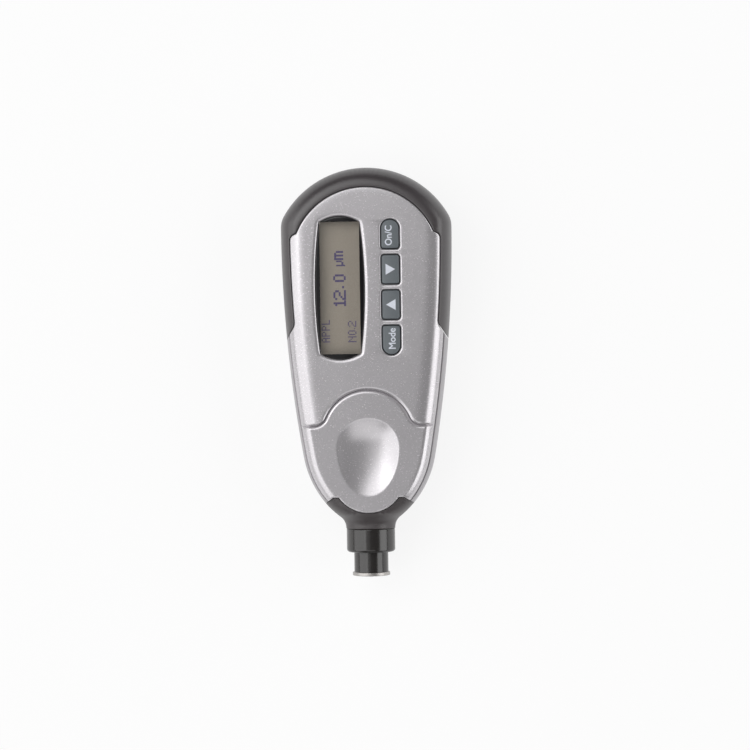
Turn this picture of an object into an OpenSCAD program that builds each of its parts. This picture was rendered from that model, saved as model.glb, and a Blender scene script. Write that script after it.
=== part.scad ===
// Pocket gauge for coating thickness, with a sprung probe in its nose.
// It lies on its back: X is its width, Y its length with the probe towards -Y, Z is out of the front.
// Sizes are in millimetres, and the middle of the back face is the origin.

/* [Case] */
// Width of the case at its widest
case_w = 50; // [48:0.5:53]
// Length of the case, from its top to the probe's collar
case_l = 105.6; // [103:0.5:112]
// Thickness of the case
case_t = 23; // [23:0.5:25]
// Rise of the top end above the widest line
top_h = 17.35; // [16:0.05:19]
// Radius of the two upper corners
corner_r = 6.9; // [6.6:0.1:8]
// Radius of the two lower sides, above the nose
low_r = 29; // [28:0.5:30]
// Turn of the outline where the nose starts to flare
low_turn = 51.5; // [50:0.1:52]
// Radius of the flare into the probe's collar
flare_r = 4; // [3.4:0.1:4.4]
// Width of the rounded edge, seen from the front
edge_w = 6; // [5:0.1:6.4]
// Fullness of the rounded edge, where 2 is an ellipse
edge_p = 2.5; // [2.2:0.1:2.9]

/* [Covers] */
// Height of the joint between the two covers
part_h = 19.8; // [19.2:0.1:20.2]
// Gap at that joint
part_gap = 0.25; // [0.1:0.05:0.3]
// Thickness of the front cover behind its face
cover_t = 2.2; // [2.1:0.1:2.4]
// Thickness of the back
floor_t = 2; // [2:0.1:2.2]
// Thickness of the side walls inside the bumper
wall_t = 1.8; // [1.4:0.1:1.9]
// Depth of the side walls below the bumper, from the outline
low_wall_t = 4.2; // [3.8:0.1:4.6]
// Length of the solid end that holds the probe
nose_wall_l = 14.1; // [13:0.1:14.6]
// Depth of the two lips that hold the covers in line
lip_h = 1.6; // [1:0.1:2]
// Thickness of those lips
lip_t = 1.2; // [0.8:0.1:1.6]
// Gap round those lips
lip_fit = 0.15; // [0.1:0.05:0.3]
// Reach of the lips from the widest line towards the nose
lip_l = 62; // [40:1:66]

/* [Lower panel] */
// Step down to the lower panel
step_h = 0.7; // [0.4:0.1:0.9]
// Distance from the top to the panel's straight edge
step_from_top = 75.4; // [74:0.1:77]
// Radius of the panel's arch
step_r = 13.2; // [12:0.1:14.5]
// Rise of the arch above the straight edge
step_rise = 10.4; // [9:0.1:11]
// Radius where the arch meets the straight edge
step_fillet = 3.9; // [2:0.1:4]
// Width of the groove along that edge
groove_w = 0.8; // [0.4:0.1:1]
// Depth of that groove below the lower panel
groove_h = 0.4; // [0.2:0.1:0.5]
// Distance from the top to the widest line of the thumb hollow
thumb_from_top = 81.6; // [80:0.1:83]
// Width of the thumb hollow
thumb_w = 17.9; // [15:0.1:18.5]
// Length of the hollow above its widest line
thumb_up = 8.4; // [7:0.1:9]
// Length of the hollow below it
thumb_down = 14.2; // [12:0.1:14.5]
// Depth of the hollow
thumb_h = 1.6; // [1:0.1:1.7]
// Thickness left behind the hollow
thumb_t = 1.5; // [1.2:0.1:1.6]

/* [Bumper and boot] */
// Width of the bumper over the top, seen from the front
bumper_w = 6.4; // [5.5:0.1:7]
// Width of the bumper along the sides
bumper_side = 3.3; // [2.6:0.1:3.4]
// Step from the covers down to the bumper
bumper_step = 0.4; // [0.2:0.1:0.6]
// Gap between bumper and covers
bumper_fit = 0.1; // [0.05:0.05:0.2]
// Distance from the top to the shoulder where the side bumper starts
ear_from_top = 19.3; // [18.5:0.1:20.5]
// Radius of that shoulder
ear_r = 1.7; // [1:0.1:2.2]
// Distance of that shoulder's root inside the arch
ear_root = 4.4; // [3.6:0.1:5]
// Fall of that shoulder
ear_fall = 2.3; // [1.5:0.1:2.8]
// Distance from the top to where the bumper's ends start to taper
taper_from_top = 46.1; // [44:0.1:50]
// Length of the taper for each millimetre of bumper width
taper_slope = 1.5; // [1:0.02:1.8]
// Radius where that end leaves the side
taper_r = 3.5; // [2:0.1:4]
// Radius of the covers' round lower end
chin_r = 10.5; // [10:0.1:12]
// Distance of that end from the probe's collar
chin_l = 5; // [4.6:0.1:5.4]
// Height of the boot's horns above that end
horn_h = 4.5; // [4.4:0.1:4.6]
// Width of each horn's flat tip
horn_w = 1.7; // [1.4:0.1:1.8]
// Slope of the boot's edge outside its horns
horn_slope = 0.7; // [0.56:0.02:0.7]
// Step from the back and front down to the boot
boot_step = 1; // [0.8:0.1:1.4]
// Straight neck of the boot above the collar
neck_l = 0.2; // [0.2:0.1:0.6]
// Lip of that neck over the collar
neck_lip = 0.1; // [0.1:0.1:0.4]

/* [Display] */
// Width of the display window
window_w = 14.9; // [13:0.1:15]
// Length of the window
window_l = 42.1; // [40:0.1:42.5]
// Bulge of its long sides
window_bulge = 1.5; // [0.8:0.1:2]
// Bulge of its ends
window_crown = 1.8; // [1:0.1:2.2]
// Distance from the case's widest line to the middle of the window
window_in = 17.6; // [17.4:0.1:17.8]
// Distance from the top to the middle of the window and keys
panel_from_top = 35.4; // [35:0.1:36]
// Thickness of the window
window_t = 1.4; // [1:0.1:1.5]
// Gap round the window
window_fit = 0.08; // [0.05:0.01:0.15]
// Thickness of the tape under the window
window_seat = 0.1; // [0.05:0.05:0.2]
// Ledge that the window rests on
window_ledge = 1; // [0.6:0.1:1.2]
// Width of the display glass
lcd_w = 13.8; // [12.5:0.1:13.8]
// Length of the glass
lcd_l = 40.2; // [38:0.1:40.4]
// Thickness of the glass
lcd_t = 2; // [1.6:0.1:2.1]
// Width of the picture area
view_w = 11.2; // [10.5:0.1:11.3]
// Length of the picture area
view_l = 37.4; // [36:0.1:37.5]
// Width of each rubber contact strip
strip_w = 1.2; // [0.8:0.1:1.3]
// Thickness of the light guide
light_t = 1.6; // [1.2:0.1:1.7]
// Gap between the light guide and the contact strips
light_gap = 0.3; // [0.2:0.1:0.6]
// Height of the glass above the board
lcd_up = 1.8; // [1.7:0.1:1.9]
// Border of the upper glass round the picture area
lcd_border = 0.6; // [0.4:0.1:0.8]

/* [Keys] */
// Width of a key
key_w = 5; // [4.8:0.1:5.4]
// Length of a key
key_l = 8.2; // [8:0.1:8.6]
// Distance between keys
key_pitch = 10.2; // [10:0.1:10.3]
// Middle of the column of keys
key_x = 7.3; // [7:0.1:7.6]
// Corner radius of a key
key_r = 0.7; // [0.4:0.1:1]
// Height of the keys above the face
key_out = 0.4; // [0.2:0.1:0.6]
// Radius of the keys' crowned tops
key_crown = 14; // [11:0.5:20]
// Gap round a key
key_fit = 0.25; // [0.15:0.05:0.3]
// Travel of a key
key_travel = 0.5; // [0.4:0.1:0.5]
// Flange that keeps a key under the cover
key_flange = 0.45; // [0.4:0.05:0.5]
// Thickness of that flange
key_flange_t = 0.8; // [0.6:0.1:0.9]
// Gap between that flange and the cover
key_drop = 0.2; // [0.15:0.05:0.3]
// Diameter of the plunger under a key
plunger_d = 2.8; // [2:0.1:3.2]
// Gap between a pressed key and its dome
plunger_gap = 0.1; // [0.05:0.05:0.2]
// Border of the dome sheet round the domes
sheet_border = 0.8; // [0.5:0.1:0.9]
// Height of a snap dome
dome_h = 0.35; // [0.25:0.05:0.45]
// Diameter of a snap dome
dome_d = 4.6; // [4:0.1:5]
// Thickness of the dome sheet
sheet_t = 0.15; // [0.1:0.05:0.2]

/* [Board] */
// Distance from the case's widest line to the board's sides
board_in = 10.7; // [10.6:0.1:11]
// Length of the board
board_l = 55; // [54:0.5:56]
// Thickness of the board
board_t = 1.2; // [1:0.1:1.6]
// Distance from the top to the board's upper edge
board_from_top = 17; // [16.5:0.1:18]
// Side of the processor
chip_w = 9; // [7:0.5:10]
// Thickness of the processor
chip_t = 1.3; // [1:0.1:1.8]
// Diameter of the buzzer
buzzer_d = 9; // [8:0.5:9.5]
// Height of the buzzer
buzzer_h = 4.2; // [3:0.1:5]
// Width of the probe's socket
socket_w = 9.2; // [8.5:0.1:10]
// Height of the socket
socket_h = 2.4; // [2.2:0.1:2.8]
// Length of the socket
socket_l = 3.5; // [3:0.1:4]
// Distance of the socket from the board's lower edge
socket_in = 0.2; // [0.1:0.1:0.6]
// Diameter of a probe lead
lead_d = 0.9; // [0.6:0.1:1.2]
// Distance between the leads
lead_gap = 6; // [5.5:0.1:6.5]
// Diameter of the pins that place the board
peg_d = 1.6; // [1.2:0.1:2]
// Shoulder of those pins under the board
peg_shoulder = 0.7; // [0.5:0.1:0.8]
// Distance of those pins from the ends of the battery box and the board
peg_in = 1.6; // [1.2:0.1:2]
// Gap round those pins
peg_fit = 0.1; // [0.05:0.05:0.2]
// Height of the board above the battery box
board_up = 1.5; // [1.4:0.1:1.6]
// Margin between the chips and the board's edges
chip_in = 1.5; // [1:0.1:2]
// Distance from the board's lower edge to the processor
chip_up = 4.4; // [4:0.1:4.6]
// Width of the small chips
small_w = 6; // [4:0.1:6.5]
// Length of the small chips
small_l = 3; // [2:0.1:3.2]

/* [Batteries] */
// Diameter of a cell
cell_d = 10.4; // [10:0.1:10.5]
// Length of a cell, with its stud
cell_l = 44.5; // [43.5:0.1:44.6]
// Diameter of the stud
stud_d = 3.6; // [3:0.1:3.8]
// Height of the stud
stud_h = 1.2; // [0.8:0.1:1.4]
// Gap between the cells and the door
cell_gap = 0.35; // [0.3:0.05:0.4]
// Gap between the cells and the roof of their box
roof_gap = 0.2; // [0.15:0.05:0.3]
// Gap between the cells and the contacts
contact_gap = 0.15; // [0.1:0.05:0.2]
// Distance between the two cells
cell_pitch = 11.2; // [10.8:0.1:11.3]
// Room for the contacts at both ends together
contact_room = 4.2; // [4:0.1:4.4]
// Clear width of the battery box
bay_w = 22.6; // [22:0.1:22.8]
// Thickness of the battery box's roof
roof_t = 1; // [0.8:0.1:1.2]
// Wall of the battery box
bay_wall = 1.2; // [1:0.1:1.3]
// Distance from the top to the box's clear space
bay_from_top = 11.4; // [11.2:0.1:12]
// Thickness of a contact strip
contact_t = 0.4; // [0.3:0.1:0.5]
// Width of a contact strip
contact_w = 5; // [4:0.1:6]
// Margin of a contact strip inside its cell's diameter
contact_in = 0.4; // [0.2:0.1:0.8]

/* [Battery door] */
// Width of the door
door_w = 26.8; // [26:0.1:27]
// Thickness of the door
door_t = 1.9; // [1.7:0.1:1.9]
// Reach of the tongue along each side of the door
tongue_w = 1; // [0.7:0.1:1]
// Thickness of the tongue
tongue_t = 0.85; // [0.7:0.05:1]
// Gap round the door
door_fit = 0.2; // [0.15:0.05:0.25]
// Gap above the door's tongue
door_play = 0.15; // [0.1:0.05:0.2]
// Width of the rails beside the door
rail_w = 1.2; // [1:0.1:1.4]
// Thickness of those rails
rail_t = 1.5; // [1.2:0.1:1.8]
// Distance from the door's lower edge to its grip
grip_in = 4; // [3:0.1:6]
// Distance from the top to the door's lower edge
door_from_top = 62.5; // [62:0.1:64]
// Number of grip grooves
grip_n = 5; // [3:1:7]
// Length of the grip grooves
grip_w = 12; // [8:0.5:16]
// Distance between grip grooves
grip_pitch = 2; // [1.6:0.1:2.4]
// Depth of the grip grooves
grip_h = 0.4; // [0.2:0.1:0.6]

/* [Screws] */
// Diameter of the screws
screw_d = 2; // [1.8:0.1:2.2]
// Diameter of the screw heads
head_d = 4.2; // [3.8:0.1:4.3]
// Height of the screw heads
head_h = 1.5; // [1.2:0.1:1.6]
// Gap round a screw
screw_fit = 0.1; // [0.05:0.05:0.15]
// Depth of the heads' recesses
recess_h = 3.2; // [3:0.1:4]
// Outer diameter of the screw posts
post_d = 5.6; // [5.2:0.1:5.8]
// Outer diameter of the posts in the front cover
front_post_d = 5; // [4.6:0.1:5.2]
// Gap round the screws' threads
thread_fit = 0.04; // [0.02:0.01:0.06]
// Distance from the screw holes' ends to the cover's inner face
hole_in = 0.8; // [0.6:0.1:1]
// Distance from the screws' ends to that face
screw_in = 1.4; // [1.2:0.1:2]
// Width of the slots in the screw heads
slot_w = 0.6; // [0.4:0.1:0.8]
// Height of the posts in the rear cover
post_h = 14.9; // [14:0.1:15]
// Depth of the upper posts from the outline
post_in = 7.4; // [7.3:0.1:7.6]
// Distance from the middle to the lower posts
post_x = 11.5; // [11:0.1:12]
// Height of the lower posts above the collar
post_up = 18.6; // [18:0.1:20]
// Fall of the upper posts below the widest line
post_down = 6.6; // [6:0.1:9]

/* [Probe] */
// Diameter of the collar
collar_d = 14.2; // [13.6:0.1:15]
// Length of the collar
collar_l = 6.9; // [6:0.1:8]
// Radius of the collar's lower edge
collar_edge = 0.9; // [0.5:0.1:1.2]
// Diameter of its threaded shank
shank_d = 12; // [11.8:0.1:12.4]
// Length of the shank
shank_l = 18; // [17.4:0.1:18.4]
// Diameter of the sleeve
sleeve_d = 10; // [9.6:0.1:10.2]
// Length of the sleeve below the collar
sleeve_l = 5.85; // [5:0.05:7]
// Length of the sleeve inside the collar
sleeve_in = 14; // [12:0.1:15]
// Wall of the sleeve
sleeve_wall = 0.8; // [0.6:0.1:0.9]
// Thickness of the sleeve's end
sleeve_end = 0.6; // [0.4:0.1:0.8]
// Diameter of the end ring
ring_d = 11; // [10.6:0.1:12]
// Thickness of the end ring
ring_t = 1.05; // [0.8:0.05:1.4]
// Diameter of the ring's hole
ring_hole_d = 4.8; // [4.4:0.1:6]
// Reach of the pin past the end ring
tip_out = 0.6; // [0.4:0.05:1]
// Travel of the pin
pin_travel = 0.9; // [0.6:0.1:1]
// Diameter of the pin
pin_d = 3.6; // [3:0.1:3.8]
// Radius of the pin's rounded tip
tip_r = 2.25; // [2:0.05:4]
// Diameter of the pin's rod
rod_d = 2.8; // [2.4:0.1:2.9]
// Reach of the rod past its guide
rod_out = 1.5; // [1.2:0.1:3]
// Gap round the sliding pieces
slide_fit = 0.2; // [0.15:0.05:0.3]
// Gap between pieces that are pushed together
press_fit = 0.03; // [0.02:0.01:0.05]
// Diameter of the coil former's flanges
bobbin_d = 7.8; // [7.4:0.1:7.9]
// Length of the coil former
bobbin_l = 12.6; // [11:0.1:13]
// Gap between the coil former and the end ring
bobbin_gap = 0.9; // [0.7:0.1:1.2]
// Thickness of its flanges
bobbin_t = 0.9; // [0.7:0.1:1.2]
// Diameter of its hub
hub_d = 5; // [4.6:0.1:5.4]
// Diameter of a winding
coil_d = 7.1; // [6.4:0.1:7.2]
// Gap at the ends of a winding
coil_gap = 0.1; // [0.05:0.05:0.2]
// Wire diameter of the spring
wire_d = 0.6; // [0.4:0.05:0.8]
// Mean diameter of the spring
spring_d = 6; // [5.2:0.1:6.2]
// Gap at each end of the spring
spring_gap = 0.1; // [0.05:0.05:0.2]
// Turns of the spring
spring_n = 6; // [5:1:8]
// Length of the guide inside the shank
guide_l = 5.5; // [4.5:0.1:6]
// Thickness of the guide's flange
guide_t = 1; // [0.8:0.1:1.4]
// Diameter of the ring nut
nut_d = 14.6; // [14:0.1:14.8]
// Thickness of the ring nut
nut_t = 3; // [2.5:0.1:3.4]
// Number of slots in the ring nut
nut_n = 4; // [2:1:6]
// Width of those slots
nut_slot_w = 1.6; // [1:0.1:2]
// Depth of those slots
nut_slot_h = 0.7; // [0.4:0.1:0.8]

/* [Hidden] */
$fn = 64;
// Reach of a cut past what it cuts, and of a plan past the case
cut = 1;
beyond = 4;
// How far the shapes of one solid run into each other
sink = 0.3;
// Gap between flat faces that seat on each other
seat_gap = 0.05;
// Width of what is kept between two round ends that would meet in a point
sliver = 0.02;
half_w = case_w / 2;
half_t = case_t / 2;
total_l = case_l + collar_l + sleeve_l + ring_t + tip_out;
y_top = total_l / 2;
y_nose = y_top - case_l;

// The outline: a top arc, two corner arcs, two long side arcs, two lower arcs and a flare, each tangent
// to the next. The top and side arcs are worked out from the case's width and length.
corner_x = half_w - corner_r;
corner_y = y_top - top_h;
top_r = (pow(corner_x, 2) + pow(top_h, 2) - pow(corner_r, 2)) / (2 * (top_h - corner_r));
top_y = y_top - top_r;
join_a = atan2(corner_y - top_y, corner_x);
neck_r = collar_d / 2 + neck_lip;
neck_y = y_nose + neck_l;
side_in = half_w - neck_r - (low_r + flare_r) * (1 - cos(low_turn));
side_down = corner_y - neck_y - (low_r + flare_r) * sin(low_turn);
side_turn = 2 * atan(side_in / side_down);
side_r = low_r + side_down / sin(side_turn);
side_x = half_w - side_r;
low_x = side_x + (side_r - low_r) * cos(side_turn);
low_y = corner_y - (side_r - low_r) * sin(side_turn);
flare_y = low_y - low_r * sin(low_turn);
skin_turn = low_turn + 4;
n_top = 14;
n_corner = 5;
n_side = 8;
n_low = 9;
n_band = 4;
n_plan = 5;
n_lead = 8;
front_levels = [30, 38, 46, 54, 62, 70, 77, 84, 90];
rear_levels = [-90, -82, -73, -63, -52, -40, -27, -13, 0, 13, 27, 40, 52, 63];
door_levels = [-90, -82, -73, -63, -52, -40, -30];
bumper_levels = [-90, -83, -75, -66, -56, -45, -31, -16, 0, 16, 31, 45, 56, 66, 75, 83, 90];

// Heights, from the back
face_z = case_t;
inner_z = face_z - cover_t;
panel_z = face_z - step_h;
thumb_z = panel_z - thumb_h - thumb_t;
cell_z = door_t + cell_gap + cell_d / 2;
bay_z = cell_z + cell_d / 2 + roof_gap;
board_z = bay_z + board_up;
board_top = board_z + board_t;
lcd_z = board_top + lcd_up;
peg_z = board_top - peg_fit;
rail_z = door_t + door_play;
key_z = inner_z - key_drop;
plunger_z = board_top + sheet_t + dome_h + key_travel + plunger_gap;
axis_z = half_t;

// Places across and along the case
window_x = window_in - half_w;
board_w = case_w - 2 * board_in;
arch_r = top_r - bumper_w;
ear_y = y_top - ear_from_top;
taper_y = y_top - taper_from_top;
band_y = taper_y - 9;
cavity_y = y_nose + nose_wall_l;
step_y = y_top - step_from_top;
step_c = step_y + step_rise - step_r;
thumb_y = y_top - thumb_from_top;
panel_y = y_top - panel_from_top;
bay_y1 = y_top - bay_from_top;
bay_l = cell_l + contact_room;
bay_y0 = bay_y1 - bay_l;
door_y = y_top - door_from_top;
board_y1 = y_top - board_from_top;
board_y0 = board_y1 - board_l;
socket_y = board_y0 + socket_in;
chin_y = y_nose + chin_l;
horn_y = chin_y + horn_h;
horn_x = sqrt(pow(chin_r, 2) - pow(chin_r - horn_h, 2));
key_y = [for (i = [1.5, 0.5, -0.5, -1.5]) panel_y + i * key_pitch];
post_at = [
    [half_w - post_in, corner_y - post_down],
    [-half_w + post_in, corner_y - post_down],
    [post_x, y_nose + post_up],
    [-post_x, y_nose + post_up]
];
peg_at = [for (s = [-1, 1], y = [bay_y0 + peg_in, board_y1 - peg_in]) [s * (bay_w + bay_wall) / 2, y]];

// Places along the probe, from the tip
tip_y = -total_l / 2;
ring_y0 = tip_y + tip_out;
ring_y1 = ring_y0 + ring_t;
collar_y0 = ring_y1 + sleeve_l;
shank_y1 = y_nose + shank_l;
sleeve_y1 = collar_y0 + sleeve_in;
bore_r = sleeve_d / 2 - sleeve_wall;
bobbin_y0 = ring_y1 + bobbin_gap;
bobbin_y1 = bobbin_y0 + bobbin_l;
guide_y0 = shank_y1 - guide_l;
guide_y1 = shank_y1 + guide_t;
rod_y1 = guide_y1 + rod_out;

// Points of an arc, without its last one
function arc(c, r, a0, a1, n) =
    [for (i = [0 : n - 1]) let (a = a0 + (a1 - a0) * i / n) c + r * [cos(a), sin(a)]];

// The same arc with its last point
function full_arc(c, r, a0, a1, n) = concat(arc(c, r, a0, a1, n), [c + r * [cos(a1), sin(a1)]]);

// The other half of a shape that is the same on both sides
function mirrored(half) =
    concat(half, [for (i = [len(half) - 1 : -1 : 0]) if (half[i].x > 0) [-half[i].x, half[i].y]]);

// A rounded corner at p, between the points before and after it
function corner(before, p, after, r, n) =
    let (
        u = (before - p) / norm(before - p),
        v = (after - p) / norm(after - p),
        half = acos(u * v) / 2,
        c = p + (u + v) / norm(u + v) * r / sin(half),
        s = p + u * r / tan(half) - c,
        e = p + v * r / tan(half) - c,
        a0 = atan2(s.y, s.x),
        turn = atan2(s.x * e.y - s.y * e.x, s * e)
    )
    full_arc(c, r, a0, a0 + turn, n);

// A rectangle with its own corner radius at each end
function round_rect(w, l, r_up, r_down, n) = mirrored(concat(
    full_arc([w / 2 - r_up, l / 2 - r_up], r_up, 90, 0, n),
    full_arc([w / 2 - r_down, r_down - l / 2], r_down, 0, -90, n)
));

// Half width of the case's outline at y, set in by d, on the long side arc
function side_at(y, d) = side_x + sqrt(pow(side_r - d, 2) - pow(y - corner_y, 2));

// The outline set in by d, as a ring of points; a short ring ends below the bumper
function half_ring(d, whole) =
    let (turn = whole ? side_turn : asin((corner_y - band_y) / side_r))
    concat(
        arc([0, top_y], top_r - d, 90, join_a, n_top),
        arc([corner_x, corner_y], corner_r - d, join_a, 0, n_corner),
        whole
            ? concat(
                arc([side_x, corner_y], side_r - d, 0, -turn, n_side),
                full_arc([low_x, low_y], low_r - d, -turn, -skin_turn, n_low)
            )
            : full_arc([side_x, corner_y], side_r - d, 0, -turn, n_band)
    );

function ring(d, whole) = mirrored(half_ring(d, whole));

// The rounded edge: its set-in and height at an angle from the middle of the thickness
function edge_in(a) = edge_w * (1 - pow(cos(a), 2 / edge_p));
function edge_up(a) = sign(a) * pow(abs(sin(a)), 2 / edge_p);

// A solid from a stack of rings with the same number of points
module stack(rings) {
    n = len(rings[0]);
    last = len(rings) - 1;
    polyhedron(
        points = [for (r = rings) each r],
        faces = concat(
            [[for (i = [n - 1 : -1 : 0]) i]],
            [for (k = [0 : last - 1], i = [0 : n - 1]) let (j = (i + 1) % n)
                [k * n + i, k * n + j, (k + 1) * n + j, (k + 1) * n + i]],
            [[for (i = [0 : n - 1]) last * n + i]]
        ),
        convexity = 4
    );
}

// The whole case's outer form, between two heights
module skin(levels, half_h, whole) {
    stack([for (a = levels) [for (p = ring(edge_in(a), whole)) [p.x, p.y, half_t + half_h * edge_up(a)]]]);
}

// A slab of a plan between two heights
module slab(z0, z1) {
    translate([0, 0, z0])
        linear_extrude(z1 - z0)
            children();
}

// A box between two corners
module box(p, q) {
    translate(p)
        cube(q - p);
}

// Turns a piece made along Z so that it lies along the probe's axis
module along_probe() {
    translate([0, 0, axis_z])
        rotate([-90, 0, 0])
            children();
}

// A round bar along the probe's axis
module bar(d, y0, y1) {
    along_probe()
        translate([0, 0, y0])
            cylinder(d = d, h = y1 - y0);
}

// Plan of both covers inside the bumper, made smaller by g
function core_half(g) =
    let (
        side_d = bumper_side + g,
        ear_x = side_at(ear_y - ear_fall, side_d),
        ear_in = [arch_r - ear_root, ear_y + ear_fall / 2 - g],
        ear_p = [ear_x, ear_y - ear_fall / 2 - g],
        below = ear_y - ear_fall - ear_r,
        out_x = half_w + beyond,
        start = [side_at(taper_y - g, side_d), taper_y - g],
        above = start.y + taper_r,
        out = [out_x, start.y - (out_x - start.x) * taper_slope]
    )
    concat(
        [[0, ear_in.y], ear_in],
        corner(ear_in, ear_p, [side_at(below, side_d), below], ear_r, 4),
        [for (i = [1 : n_plan]) let (y = below + (above - below) * i / n_plan) [side_at(y, side_d), y]],
        corner([side_at(above, side_d), above], start, out, taper_r, 4),
        [
            out,
            [out_x, y_nose - beyond],
            [0, y_nose - beyond]
        ]
    );

module core_plan(g) {
    translate([0, top_y])
        circle(r = arch_r - g, $fn = 96);
    polygon(mirrored(core_half(g)));
}

// Plan of what belongs to the nose boot, made smaller by g
module nose_plan(g) {
    reach = half_w;
    difference() {
        polygon(mirrored([
            [horn_x - cut, horn_y - g],
            [horn_x + horn_w, horn_y - g],
            [horn_x + horn_w + reach, horn_y - reach * horn_slope - g],
            [horn_x + horn_w + reach, y_nose - beyond]
        ]));
        translate([0, chin_y + chin_r])
            circle(r = chin_r + g, $fn = 96);
    }
}

// Plan of the space inside the covers, made smaller by g
module cavity_plan(g) {
    intersection() {
        polygon(ring(low_wall_t + g, true));
        core_plan(wall_t + g);
        translate([-half_w, cavity_y + g])
            square([case_w, case_l]);
    }
}

// Points of the lower panel's upper edge, moved up by g, and closed below
function step_half(g) =
    let (
        r = step_r + g,
        f = step_fillet - g,
        y = step_y + g,
        fy = y + f,
        fx = sqrt(pow(r + f, 2) - pow(fy - step_c, 2)),
        a = atan2(fy - step_c, fx)
    )
    concat(
        full_arc([0, step_c], r, 90, a, 9),
        full_arc([fx, fy], f, a + 180, 270, 5),
        [[half_w + beyond, y], [half_w + beyond, y_nose - beyond]]
    );

// Plan of the display window, made smaller by g
module window_plan(g) {
    w = window_w / 2 - g;
    l = window_l / 2 - g;
    side = [for (i = [0 : 9]) let (t = 1 - 2 * i / 9) [w - window_bulge * t * t, (l - window_crown) * t]];
    top = [for (i = [1 : 3]) let (t = i / 4) [(w - window_bulge) * t, l - window_crown * t * t]];
    bottom = [for (i = [3 : -1 : 1]) let (t = i / 4) [(w - window_bulge) * t, window_crown * t * t - l]];
    translate([window_x, panel_y])
        polygon(mirrored(concat([[0, l]], top, side, bottom, [[0, -l]])));
}

// Plan of a key, made larger by g, with a round end where up or down is 1
module key_plan(i, g) {
    w = key_w + 2 * g;
    l = key_l + 2 * g;
    round_end = w / 2 - sliver;
    r_up = i == 0 ? round_end : key_r + max(g, 0);
    r_down = i == 3 ? round_end : key_r + max(g, 0);
    translate([key_x, key_y[i]])
        polygon(round_rect(w, l, r_up, r_down, 5));
}

// The thumb hollow, as a body of revolution that lies above the panel
module thumb_cut() {
    h = (pow(thumb_w / 2, 2) - pow(thumb_h, 2)) / (2 * thumb_h);
    r = h + thumb_h;
    up_r = (pow(thumb_up, 2) + pow(thumb_h, 2)) / (2 * thumb_h);
    down_r = (pow(thumb_down, 2) + pow(thumb_h, 2)) / (2 * thumb_h);
    translate([0, thumb_y, panel_z + h])
        rotate([-90, 0, 0])
            rotate_extrude($fn = 160) {
                intersection() {
                    translate([r - up_r, 0])
                        circle(r = up_r, $fn = 160);
                    square([r + cut, thumb_up + cut]);
                }
                intersection() {
                    translate([r - down_r, 0])
                        circle(r = down_r, $fn = 160);
                    translate([0, -thumb_down - cut])
                        square([r + cut, thumb_down + cut]);
                }
            }
}

module front_cover() {
    color([0.75, 0.74, 0.76])
    difference() {
        union() {
            difference() {
                intersection() {
                    skin(front_levels, half_t, true);
                    slab(part_h + part_gap, face_z + cut)
                        difference() {
                            core_plan(0);
                            nose_plan(0);
                        }
                }
                slab(part_h - cut, inner_z)
                    cavity_plan(0);
            }
            // lips, posts and the thickening behind the thumb hollow
            slab(part_h - lip_h, inner_z + sink)
                difference() {
                    intersection() {
                        cavity_plan(lip_fit);
                        translate([-half_w, corner_y - post_down - lip_l])
                            square([case_w, lip_l]);
                    }
                    cavity_plan(lip_fit + lip_t);
                }
            slab(thumb_z, inner_z + sink)
                intersection() {
                    cavity_plan(lip_fit);
                    translate([-thumb_w / 2 - cut, thumb_y - thumb_down - cut])
                        square([thumb_w + 2 * cut, thumb_up + thumb_down + 2 * cut]);
                }
            slab(post_h + part_gap, inner_z + sink)
                intersection() {
                    cavity_plan(lip_fit);
                    for (p = post_at)
                        translate(p)
                            circle(d = front_post_d);
                }
        }
        slab(panel_z, face_z + cut)
            polygon(mirrored(step_half(0)));
        slab(panel_z - groove_h, face_z + cut)
            difference() {
                polygon(mirrored(step_half(groove_w / 2)));
                polygon(mirrored(step_half(-groove_w / 2)));
            }
        thumb_cut();
        slab(face_z - window_t - window_seat, face_z + cut)
            window_plan(0);
        slab(inner_z - cut, face_z)
            window_plan(window_ledge);
        slab(inner_z - cut, face_z + cut)
            for (i = [0 : 3])
                key_plan(i, key_fit);
        for (p = post_at)
            translate([p.x, p.y, 0])
                cylinder(d = screw_d + 2 * thread_fit, h = inner_z - hole_in);
    }
}

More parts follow.
